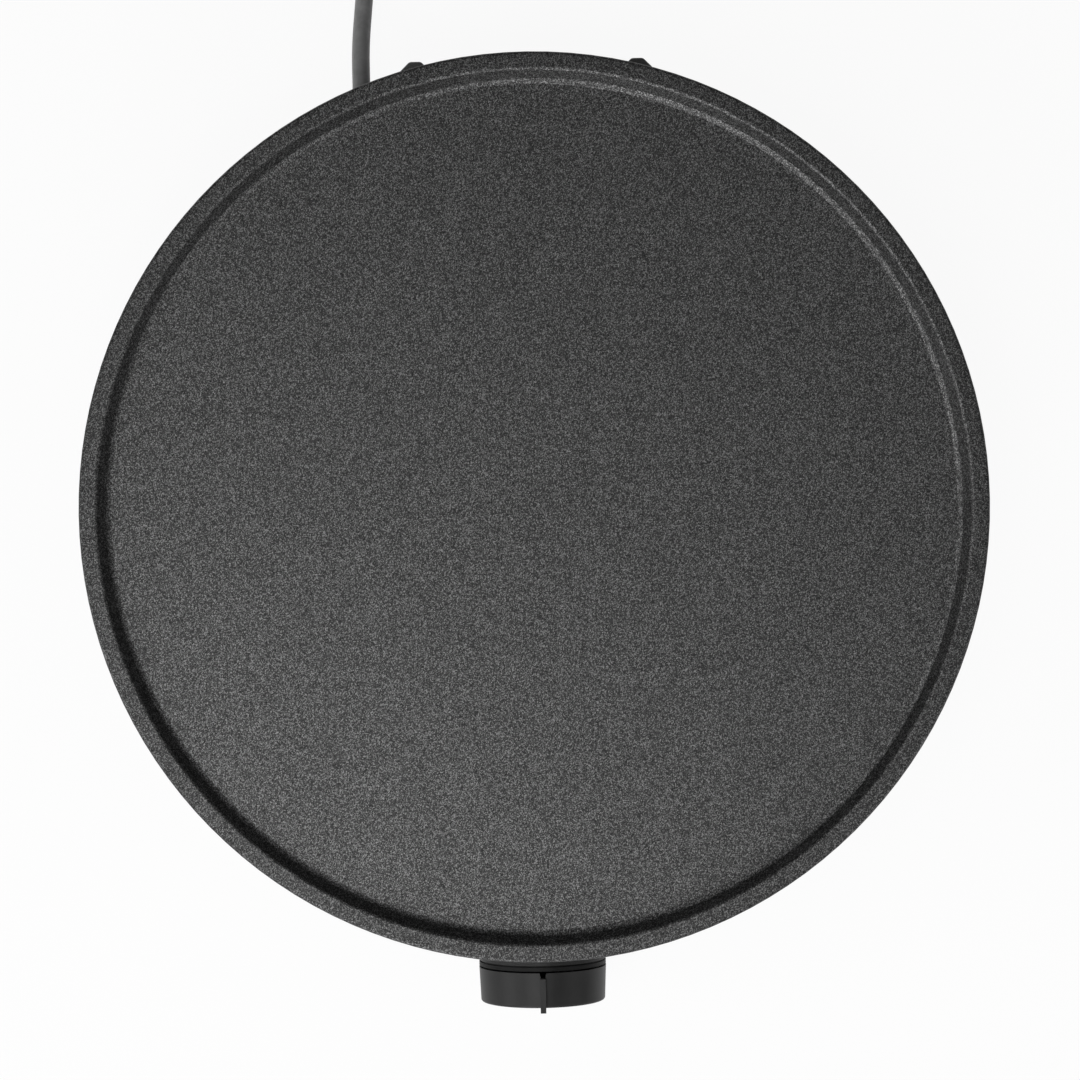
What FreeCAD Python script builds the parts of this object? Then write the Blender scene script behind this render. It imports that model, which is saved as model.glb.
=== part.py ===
import FreeCAD, Part
import math
import os
import re
import Sketcher

V = FreeCAD.Vector

# Driving sizes, millimetres and degrees. The origin is the middle of the cooking surface,
# +Z is up, -Y is the knob side. A drop is measured down from the cooking surface.
SIZES = {
    # Griddle plate
    "cooking_radius": 151.2,
    "rim_run": 3.6,
    "rim_height": 5,
    "rim_wall": 1.6,
    "flange_width": 6.2,
    "flange_thickness": 4,
    "lip_width": 2.5,
    "lip_depth": 7,
    "plate_thickness": 6,
    "foot_fillet": 2.4,
    "crest_fillet": 1.4,
    "edge_fillet": 1.2,
    "plate_hole_depth": 4.4,
    # Screws
    "screw_radius": 2,
    "head_radius": 3.8,
    "head_height": 2.4,
    "hole_clearance": 0.1,
    "thread_clearance": 0.05,
    "small_screw_radius": 1.5,
    "small_head_radius": 2.8,
    "small_head_height": 1.8,
    "recess_width": 1.1,
    "recess_depth": 1.2,
    # Heating element
    "element_inset": 13,
    "element_radius": 3.7,
    "element_drop": 10.2,
    "element_clearance": 0.15,
    "element_neck": 6,
    "channel_wall": 3.65,
    "channel_lip": 3.3,
    "element_gap_angle": 54,
    "element_lead_angle": 2,
    "leg_bend": 8,
    "leg_drop": 34,
    "seal_length": 6,
    "seal_end_radius": 2.6,
    "tab_length": 8,
    "tab_width": 6.3,
    "tab_thickness": 0.8,
    # Stack under the plate
    "boss_inset": 10,
    "boss_radius": 6,
    "boss_count": 5,
    "boss_drop": 20,
    "boss_hole_depth": 9,
    "boss_thread": 7,
    "reflector_thickness": 0.6,
    "reflector_margin": 12,
    "reflector_edge": 4,
    "window_width": 80,
    "window_margin": 12,
    "washer_thickness": 2.4,
    # Base housing
    "base_drop": 55,
    "plate_overhang": 10,
    "base_taper": 33,
    "housing_band": 8,
    "plate_gap": 2,
    "housing_wall": 3,
    "floor_thickness": 2.5,
    "bottom_bevel": 3,
    "shoulder_bevel": 5,
    "post_seat": 8,
    "vent_count": 18,
    "vent_width": 3,
    "vent_inner": 30,
    "vent_length": 28,
    # Feet
    "foot_height": 8,
    "foot_radius": 10,
    "foot_inset": 11.93,
    "foot_stem": 3,
    "foot_head": 4.6,
    "foot_head_height": 3.5,
    # Knob and its boss
    "knob_drop": 31.5,
    "knob_boss_radius": 23,
    "knob_boss_reach": 2.9,
    "knob_boss_wall": 2.5,
    "dial_thickness": 2,
    "dial_inner": 17,
    "dial_groove": 0.6,
    "knob_gap": 0.6,
    "knob_radius": 23.05,
    "knob_draft": 0.55,
    "knob_depth": 12.6,
    "knob_wall": 2,
    "knob_fillet": 0.9,
    "hub_radius": 6,
    "hub_recess": 1.2,
    "hub_clearance": 0.04,
    "flat_height": 2.2,
    "flat_length": 8.5,
    "rib_width": 2,
    "rib_proud": 1.6,
    "rib_front": 1.5,
    "rib_setback": 1.9,
    "notch_length": 1.7,
    "notch_width": 2.6,
    "notch_end_width": 1.5,
    # Thermostat
    "spindle_radius": 3,
    "spindle_clearance": 0.05,
    "spindle_hole_clearance": 0.6,
    "spindle_tail": 6.5,
    "bracket_setback": 49.9,
    "bracket_thickness": 1.5,
    "bracket_width": 54,
    "bracket_height": 40,
    "bracket_flange": 14,
    "bracket_hole_ahead": 7,
    "bracket_hole_spacing": 18,
    "bush_radius": 5,
    "bush_length": 8,
    "bush_spigot": 4,
    "stack_offset": 21,
    "rivet_radius": 2,
    "rivet_head": 3.5,
    "rivet_head_height": 1.5,
    "spacer_radius": 5,
    "spacer_long": 13.8,
    "spacer_contact": 3.9,
    "spacer_bimetal": 3,
    "spacer_end": 2,
    "arm_thickness": 0.5,
    "fixed_thickness": 0.7,
    "bimetal_thickness": 1,
    "blade_width": 8,
    "blade_end": 5,
    "blade_tab": 8,
    "arm_gap": 0.95,
    "arm_width": 6,
    "arm_eye": 0.6,
    "arm_root": 15,
    "arm_reach": 19,
    "fixed_reach": 17,
    "bimetal_reach": 20,
    "contact_place": 14,
    "contact_radius": 2,
    "contact_height": 1,
    "adjuster_radius": 2,
    "adjuster_bore_depth": 5.1,
    "adjuster_gap": 0.3,
    # Earth tab, fuse and terminal block
    "earth_setback": 40,
    "earth_reach": 6,
    "earth_tail": 4,
    "earth_tongue": 10,
    "fuse_radius": 3,
    "fuse_length": 22,
    "fuse_place": 3,
    "fuse_gap": 0.3,
    "clip_thickness": 0.6,
    "clip_length": 8,
    "clip_foot": 6,
    "block_setback": 84,
    "block_length": 20,
    "block_width": 32,
    "block_height": 10,
    "block_boss": 2.5,
    "block_boss_radius": 3.2,
    "block_boss_spacing": 26,
    "port_spacing": 8,
    "port_radius": 1.6,
    "wire_radius": 1.25,
    "wire_gap": 0.3,
    "wire_insert": 3,
    "wire_loop": 18,
    "core_radius": 1.05,
    "core_spacing": 1.4,
    "core_insert": 4,
    # Cord entry
    "cord_radius": 3.3,
    "cord_place": 60.8,
    "cord_rise": 9,
    "cord_boss_radius": 8,
    "cord_boss_inset": 5.615,
    "relief_spigot": 5,
    "relief_spigot_length": 12,
    "relief_flange": 1.5,
    "relief_root": 5.3,
    "relief_tip": 4.5,
    "relief_length": 22,
    "cord_inner_length": 44,
    "cord_saddle": 0.1,
    "clamp_setback": 32,
    "clamp_length": 7,
    "clamp_width": 28,
    "clamp_height": 8,
    "clamp_boss": 4.5,
    "clamp_screw_spacing": 19,
    # Cord cleats
    "cleat_place": 40.2,
    "cleat_rise": 17,
    "cleat_seat_inset": 0.4,
    "cleat_pad_radius": 8,
    "cleat_seat_wall": 5,
    "cleat_arm_width": 9,
    "cleat_arm_height": 12,
    "cleat_plate_inset": 3.8,
    "cleat_plate_depth": 4.6,
    "cleat_plate_width": 13.4,
    "cleat_plate_tip": 4.2,
    "cleat_plate_height": 28,
    "cleat_corner": 1.8,
    "cleat_edge": 0.9,
    "cleat_hole_depth": 14,
    "cleat_screw_length": 18,
    # Cord coil and plug
    "coil_start": 240,
    "coil_left": 58,
    "coil_radius": 44,
    "coil_gap": 0.7,
    "coil_turns": 2.25,
    "coil_turns_back": 2,
    "plug_radius": 19,
    "plug_neck": 6,
    "plug_boot": 4.6,
    "plug_boot_length": 20,
    "plug_shoulder": 18,
    "plug_head": 24,
    "plug_start": 78,
    "plug_fillet": 2,
    "pin_radius": 2.4,
    "pin_length": 19,
    "pin_spacing": 19,
    "pin_set": 6,
    "earth_slot_width": 8,
    "earth_slot_depth": 2.2,
    "earth_slot_length": 18,
    "earth_clip_width": 6.4,
    "earth_clip_thickness": 0.8,
}

doc = FreeCAD.newDocument("crepe_maker")
sheet = doc.addObject("Spreadsheet::Sheet", "Sizes")
for row, (alias, number) in enumerate(SIZES.items(), start=1):
    sheet.set(f"A{row}", alias)
    sheet.set(f"B{row}", str(number))
    sheet.setAlias(f"B{row}", alias)
doc.recompute()

nodes = []


def full(expression):
    """An expression of bare size names, with the sheet's name before each one."""
    return re.sub(r"\b[a-z]+(_[a-z0-9]+)+\b", r"Sizes.\g<0>", str(expression))


def size(expression):
    """The number that an expression of size names gives."""
    return float(sheet.evalExpression(full(expression)))


def new_body(label):
    """A body whose label names its node."""
    piece = doc.addObject("PartDesign::Body", label)
    piece.Label = label
    return piece


def keep(piece):
    """Count a finished object as one of the nodes."""
    nodes.append(piece)
    return piece


def place(piece, across="0", along="0", up="0", axis=V(0, 0, 1), turn=0):
    """Turn an object about an axis and bind its place to the sheet."""
    piece.Placement = FreeCAD.Placement(V(0, 0, 0), FreeCAD.Rotation(axis, turn))
    for letter, expression in zip("xyz", (across, along, up)):
        piece.setExpression(f"Placement.Base.{letter}", full(expression))
    return piece


def face_front(piece, across="0", along="0", up="-knob_drop"):
    """Stand an object so that its own Z points out to the front, at the knob's height."""
    return place(piece, across, along, up, V(1, 0, 0), 90)


def group(label, pieces):
    """Hold like pieces together as one node."""
    cluster = doc.addObject("Part::Compound", label)
    cluster.Label = label
    cluster.Links = pieces
    return keep(cluster)


def origin_part(piece, role):
    """One of the body's own origin planes or axes."""
    return next(part for part in piece.Origin.OriginFeatures if part.Role == role)


def sketch(piece, plane, offset="0"):
    """A sketch on one of the body's own planes, moved along that plane's normal."""
    drawing = piece.newObject("Sketcher::SketchObject", f"{piece.Label}_sketch")
    drawing.AttachmentSupport = (origin_part(piece, f"{plane}_Plane"), [""])
    drawing.MapMode = "FlatFace"
    drawing.setExpression("AttachmentOffset.Base.z", full(offset))
    return drawing


def hold(drawing, item, spot, across, up):
    """Fix one point of a sketch by its distances from the sketch's origin."""
    for kind, expression in (("DistanceX", across), ("DistanceY", up)):
        rule = Sketcher.Constraint(kind, -1, 1, item, spot, size(expression))
        index = drawing.addConstraint(rule)
        drawing.setExpression(f"Constraints[{index}]", full(expression))


def outline(drawing, corners):
    """A closed polygon through corners given as pairs of expressions."""
    spots = [V(size(across), size(up), 0) for across, up in corners]
    first = drawing.GeometryCount
    for index, spot in enumerate(spots):
        drawing.addGeometry(Part.LineSegment(spot, spots[(index + 1) % len(spots)]), False)
    for index in range(len(spots)):
        following = first + (index + 1) % len(spots)
        drawing.addConstraint(Sketcher.Constraint("Coincident", first + index, 2, following, 1))
    for index, (across, up) in enumerate(corners):
        hold(drawing, first + index, 1, across, up)
    return drawing


def box_outline(drawing, left, right, low, high):
    """A rectangle between two distances across and two distances up."""
    return outline(drawing, [(left, low), (right, low), (right, high), (left, high)])


def circle(drawing, across, up, radius):
    """A full circle."""
    round_line = Part.Circle(V(size(across), size(up), 0), V(0, 0, 1), size(radius))
    index = drawing.addGeometry(round_line, False)
    hold(drawing, index, 3, across, up)
    rule = drawing.addConstraint(Sketcher.Constraint("Radius", index, size(radius)))
    drawing.setExpression(f"Constraints[{rule}]", full(radius))
    return drawing


def feature(piece, drawing, kind):
    """A feature of the body made from a sketch."""
    made = piece.newObject(f"PartDesign::{kind}", f"{piece.Label}_{kind}")
    made.Profile = drawing
    return made


def pad(piece, drawing, length, both_ways=False, back=False):
    """Grow a sketch into a solid."""
    made = feature(piece, drawing, "Pad")
    made.setExpression("Length", full(length))
    made.Midplane = both_ways
    made.Reversed = back
    doc.recompute()
    return made


def cut(piece, drawing, depth, forward=False):
    """Cut a sketch out of the body, against its plane's normal or forward along it."""
    made = feature(piece, drawing, "Pocket")
    made.setExpression("Length", full(depth))
    made.Reversed = forward
    doc.recompute()
    return made


def turned(piece, drawing, kind="Revolution", angle="360", both_ways=False):
    """Turn a sketch about its own upright axis, to add or to cut."""
    made = feature(piece, drawing, kind)
    made.ReferenceAxis = (drawing, ["V_Axis"])
    made.setExpression("Angle", full(angle))
    made.Midplane = both_ways
    doc.recompute()
    return made


def ring_pattern(piece, originals, count):
    """Repeat features round the body's upright axis."""
    made = piece.newObject("PartDesign::PolarPattern", f"{piece.Label}_pattern")
    made.Originals = originals
    made.Axis = (origin_part(piece, "Z_Axis"), [""])
    made.Angle = 360
    made.setExpression("Occurrences", full(count))
    piece.Tip = made
    doc.recompute()
    return made


def soften(piece, kind, reach, spots):
    """Fillet or chamfer the edges that pass through the given places."""
    base = piece.Tip
    edges = base.Shape.Edges
    names = set()
    for spot in spots:
        near = min(range(len(edges)), key=lambda i: edges[i].distToShape(Part.Vertex(spot))[0])
        names.add(f"Edge{near + 1}")
    made = piece.newObject(f"PartDesign::{kind}", f"{piece.Label}_{kind}")
    made.Base = (base, sorted(names))
    made.setExpression("Radius" if kind == "Fillet" else "Size", full(reach))
    doc.recompute()
    return made


def on_ring(radius, up, turn=37):
    """A place on a ring about the upright axis, clear of the seam."""
    flat = size(radius)
    angle = math.radians(turn)
    return V(flat * math.cos(angle), flat * math.sin(angle), size(up))


def lathe(label, profile):
    """A body turned from one profile of radius and height."""
    piece = new_body(label)
    turned(piece, outline(sketch(piece, "XZ"), profile))
    return piece


def tube_ring(label, low, high, inner, outer):
    """A plain round sleeve."""
    return lathe(label, [(inner, low), (outer, low), (outer, high), (inner, high)])


def rod(label, low, high, radius):
    """A plain round bar."""
    return lathe(label, [("0", low), (radius, low), (radius, high), ("0", high)])


def screw(label, length, shank="screw_radius", head="head_radius", rise="head_height"):
    """A pan head screw that points up, its head under the seat at zero."""
    profile = [("0", f"-{rise}"), (head, f"-{rise}"), (head, "0"), (shank, "0")]
    piece = lathe(label, profile + [(shank, length), ("0", length)])
    wide = f"{head}*0.6"
    thin = "recess_width/2"
    drawing = sketch(piece, "XY", f"-{rise}")
    corners = [(wide, thin), (thin, thin), (thin, wide), (f"-{thin}", wide)]
    corners += [(f"-{thin}", thin), (f"-{wide}", thin), (f"-{wide}", f"-{thin}")]
    corners += [(f"-{thin}", f"-{thin}"), (f"-{thin}", f"-{wide}"), (thin, f"-{wide}")]
    corners += [(thin, f"-{thin}"), (wide, f"-{thin}")]
    cut(piece, outline(drawing, corners), "recess_depth", forward=True)
    return piece


def rounded_path(route, share=0.45):
    """Straight runs joined by the largest tangent arcs that the runs allow."""
    edges = []
    radii = []
    start = route[0]
    for before, corner, after in zip(route, route[1:], route[2:]):
        inward = (corner - before).normalize()
        outward = (after - corner).normalize()
        half = inward.getAngle(outward) / 2
        reach = share * min((corner - before).Length, (after - corner).Length)
        radius = reach / math.tan(half)
        middle = (outward - inward).normalize() * (radius / math.cos(half) - radius)
        enter = corner - inward * reach
        leave = corner + outward * reach
        edges.append(Part.LineSegment(start, enter).toShape())
        edges.append(Part.Arc(enter, corner + middle, leave).toShape())
        radii.append(radius)
        start = leave
    edges.append(Part.LineSegment(start, route[-1]).toShape())
    return Part.Wire(edges), radii


def sweep(path, start, heading, radius):
    """A round section carried along a path as one unbroken solid."""
    section = Part.Wire([Part.Circle(start, heading, radius).toShape()])
    shell = Part.BRepOffsetAPI.MakePipeShell(path)
    shell.add(section)
    shell.build()
    shell.makeSolid()
    return shell.shape()


def tube(label, route, radius):
    """A cord or wire along a route, its volume compared with section times length."""
    path, radii = rounded_path(route)
    solid = sweep(path, route[0], route[1] - route[0], radius)
    expected = math.pi * radius ** 2 * path.Length
    if abs(solid.Volume / expected - 1) > 0.01:
        raise RuntimeError(f"{label}: volume {solid.Volume:.1f}, expected {expected:.1f}")
    listed = " ".join(f"{value:.0f}" for value in radii)
    print(f"{label}: length {path.Length:.1f}, arc radii {listed}")
    piece = doc.addObject("Part::Feature", label)
    piece.Label = label
    piece.Shape = solid
    piece.Placement = FreeCAD.Placement()
    return piece


# Heights and places that several pieces share
plate_radius = "(cooking_radius+rim_run+flange_width)"
housing_radius = f"({plate_radius}-plate_overhang)"
floor_radius = f"({housing_radius}-base_taper)"
boss_ring = f"({floor_radius}-boss_inset)"
element_ring = f"({boss_ring}-element_inset)"
reflector_radius = f"({boss_ring}+reflector_margin)"
foot_place = f"(({floor_radius}-foot_inset)*cos(45))"
flange_under = "(rim_height-flange_thickness)"
plate_under = "-plate_thickness"
thread_hole = "(screw_radius+thread_clearance)"
clear_hole = "(screw_radius+hole_clearance)"
small_thread_hole = "(small_screw_radius+thread_clearance)"
small_clear_hole = "(small_screw_radius+hole_clearance)"
rivet_hole = "(rivet_radius+hole_clearance)"
hub_inner = "(spindle_radius+hub_clearance)"
reflector_under = "(boss_drop+reflector_thickness)"
post_top = f"({reflector_under}+washer_thickness)"
fuse_up = f"-({reflector_under}+fuse_gap+fuse_radius)"
tab_drop = "(leg_drop+seal_length)"
floor_inside = "(base_drop-floor_thickness)"
housing_top = "(plate_thickness+plate_gap)"
shoulder_drop = f"({housing_top}+housing_band)"
table_drop = "(base_drop+foot_height)"
cord_drop = "(base_drop-cord_rise)"
cleat_drop = "(base_drop-cleat_rise)"
wall_slope = f"(base_taper/(base_drop-{shoulder_drop}))"
boss_front = f"({plate_radius}+knob_boss_reach)"
dial_front = f"({boss_front}+dial_thickness)"
knob_rear = f"({dial_front}+knob_gap)"
knob_front = f"({knob_rear}+knob_depth)"
spindle_front = f"({knob_front}-knob_wall-0.6)"
bracket_plane = f"({boss_front}-bracket_setback)"
bracket_rear = f"({bracket_plane}-bracket_thickness)"
spindle_inner = f"({bracket_plane}-spindle_tail)"
arm_front = f"({bracket_rear}-spacer_long)"
arm_rear = f"({arm_front}-arm_thickness)"
fixed_front = f"({arm_rear}-spacer_contact)"
fixed_rear = f"({fixed_front}-fixed_thickness)"
bimetal_front = f"({fixed_rear}-spacer_bimetal)"
bimetal_rear = f"({bimetal_front}-bimetal_thickness)"
stack_rear = f"({bimetal_rear}-spacer_end)"
earth_place = f"({bracket_plane}-earth_setback)"
window_rear = f"({earth_place}-window_margin)"
cord_boss_end = f"({floor_radius}+cord_rise*{wall_slope}-cord_boss_inset)"
relief_end = f"({cord_boss_end}+relief_flange+relief_length)"
clamp_place = f"({cord_boss_end}-clamp_setback)"
clamp_seat = f"({floor_inside}-clamp_boss)"
cord_inner_end = f"({cord_boss_end}-cord_inner_length)"
block_front = f"({cord_boss_end}-block_setback)"
block_under = f"({floor_inside}-block_boss)"
cleat_seat = f"({floor_radius}+cleat_rise*{wall_slope}-cleat_seat_inset)"
cleat_plate_near = f"({plate_radius}-cleat_plate_inset)"
cleat_plate_far = f"({cleat_plate_near}+cleat_plate_depth)"
cord_floor = f"(-{table_drop}+cord_radius)"
coil_x = "(coil_radius-coil_left)"
coil_pitch = "(2*cord_radius+coil_gap)"


def make_griddle_plate():
    """The cast plate with its raised rim, element channel and screw bosses."""
    plate = new_body("griddle_plate")
    lip_low = "rim_height-lip_depth"
    profile = [("0", "0"), ("cooking_radius", "0"), ("cooking_radius+rim_run", "rim_height")]
    profile += [(plate_radius, "rim_height"), (plate_radius, lip_low)]
    profile += [(f"{plate_radius}-lip_width", lip_low), (f"{plate_radius}-lip_width", flange_under)]
    profile += [("cooking_radius+rim_run+rim_wall", flange_under)]
    profile += [("cooking_radius+rim_wall", plate_under), ("0", plate_under)]
    turned(plate, outline(sketch(plate, "XZ"), profile))
    soften(plate, "Fillet", "foot_fillet", [on_ring("cooking_radius", "0")])
    soften(plate, "Fillet", "crest_fillet", [on_ring("cooking_radius+rim_run", "rim_height")])
    soften(plate, "Fillet", "edge_fillet", [on_ring(plate_radius, "rim_height")])
    groove = "(element_radius+element_clearance)"
    half = f"({groove}+channel_wall)"
    low = "-(element_drop+channel_lip)"
    near = f"{element_ring}-{half}"
    far = f"{element_ring}+{half}"
    channel = box_outline(sketch(plate, "YZ"), near, far, low, f"{plate_under}+0.5")
    turned(plate, channel, angle="360-element_gap_angle", both_ways=True)
    bed = circle(sketch(plate, "YZ"), element_ring, "-element_drop", groove)
    turned(plate, bed, "Groove")
    neck = sketch(plate, "YZ")
    left = f"{element_ring}-element_neck/2"
    right = f"{element_ring}+element_neck/2"
    box_outline(neck, left, right, f"{low}-1", "-element_drop")
    turned(plate, neck, "Groove")
    seat = circle(sketch(plate, "XY", "-boss_drop"), "0", boss_ring, "boss_radius")
    stud = pad(plate, seat, "boss_drop-plate_thickness+0.5")
    hole = circle(sketch(plate, "XY", "-boss_drop"), "0", boss_ring, thread_hole)
    drilled = cut(plate, hole, "boss_hole_depth", forward=True)
    ring_pattern(plate, [stud, drilled], "boss_count")
    tapped = sketch(plate, "XY", plate_under)
    for side in ("-", ""):
        along = f"-({bracket_plane}+bracket_hole_ahead)"
        circle(tapped, f"{side}bracket_hole_spacing/2", along, thread_hole)
    circle(tapped, "0", f"-{earth_place}", thread_hole)
    cut(plate, tapped, "plate_hole_depth", forward=True)
    keep(plate)


def make_heating_element():
    """The tubular element: a ring in the plate's channel, its two ends turned down."""
    radius = size(element_ring)
    drop = size("element_drop")
    bend = size("leg_bend")
    end_angle = math.radians(size("90-element_gap_angle/2+element_lead_angle"))
    ends = []
    edges = []
    for side in (-1, 1):
        arc_end = V(side * radius * math.cos(end_angle), -radius * math.sin(end_angle), -drop)
        along = V(-side * math.sin(end_angle), -math.cos(end_angle), 0)
        bend_end = arc_end + along * bend - V(0, 0, bend)
        middle = arc_end + along * bend * math.sin(math.pi / 4)
        middle = middle - V(0, 0, bend * (1 - math.cos(math.pi / 4)))
        leg_end = V(bend_end.x, bend_end.y, -size("leg_drop"))
        turn = Part.Arc(arc_end, middle, bend_end).toShape()
        leg = Part.LineSegment(bend_end, leg_end).toShape()
        edges.append([turn, leg])
        ends.append((arc_end, leg_end))
    left, right = ends
    quarter = radius * math.cos(math.radians(10))
    rise = radius * math.sin(math.radians(10))
    back = V(0, radius, -drop)
    sweep_left = Part.Arc(left[0], V(-quarter, rise, -drop), back).toShape()
    sweep_right = Part.Arc(back, V(quarter, rise, -drop), right[0]).toShape()
    path = Part.Wire([edges[0][1], edges[0][0], sweep_left, sweep_right] + edges[1])
    element = doc.addObject("Part::Feature", "heating_element")
    element.Label = "heating_element"
    element.Shape = sweep(path, left[1], V(0, 0, 1), size("element_radius"))
    element.Placement = FreeCAD.Placement()
    keep(element)
    seals = []
    tabs = []
    for side, end in zip(("left", "right"), (left[1], right[1])):
        low = "-(leg_drop+seal_length)"
        profile = [("0", "-leg_drop"), ("element_radius", "-leg_drop")]
        seal = lathe(f"seal_{side}", profile + [("seal_end_radius", low), ("0", low)])
        place(seal, f"{end.x}", f"{end.y}")
        seals.append(seal)
        tab = new_body(f"tab_{side}")
        drawing = sketch(tab, "XY", low)
        wide = "tab_width/2"
        thick = "tab_thickness/2"
        box_outline(drawing, f"-{wide}", wide, f"-{thick}", thick)
        pad(tab, drawing, "tab_length", back=True)
        place(tab, f"{end.x}", f"{end.y}")
        tabs.append(tab)
    group("element_seals", seals)
    group("element_terminals", tabs)
    return left[1], right[1]


def make_heat_reflector():
    """The thin sheet disc that keeps the heat off the housing, open at the front."""
    sheet_disc = new_body("heat_reflector")
    high = "-boss_drop"
    low = "-boss_drop-reflector_thickness"
    inner = f"{reflector_radius}-reflector_thickness"
    profile = [("0", low), (reflector_radius, low), (reflector_radius, f"{low}+reflector_edge")]
    profile += [(inner, f"{low}+reflector_edge"), (inner, high), ("0", high)]
    turned(sheet_disc, outline(sketch(sheet_disc, "XZ"), profile))
    hole = circle(sketch(sheet_disc, "XY", low), "0", boss_ring, clear_hole)
    drilled = cut(sheet_disc, hole, "reflector_thickness*2", forward=True)
    ring_pattern(sheet_disc, [drilled], "boss_count")
    window = sketch(sheet_disc, "XY", f"{low}-1")
    wide = "window_width/2"
    box_outline(window, f"-{wide}", wide, f"-{reflector_radius}-1", f"-{window_rear}")
    cut(sheet_disc, window, "reflector_edge+2", forward=True)
    keep(sheet_disc)


def ring_places(count):
    """Where each fixing stands on the boss ring, the first one at the rear."""
    for index in range(round(size(count))):
        angle = f"90+360/{count}*{index}"
        yield index + 1, f"{boss_ring}*cos({angle})", f"{boss_ring}*sin({angle})"


def make_base_fixings():
    """Insulating washers between plate and base, and the screws that pull them together."""
    washers = []
    screws = []
    for number, across, along in ring_places("boss_count"):
        washer = tube_ring(f"washer_{number}", "0", "washer_thickness", clear_hole, "boss_radius")
        washers.append(place(washer, across, along, f"-{post_top}"))
        long = "post_seat+washer_thickness+reflector_thickness+boss_thread"
        bolt = screw(f"base_screw_{number}", long)
        screws.append(place(bolt, across, along, f"-({post_top}+post_seat)"))
    group("insulating_washers", washers)
    group("base_screws", screws)


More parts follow.
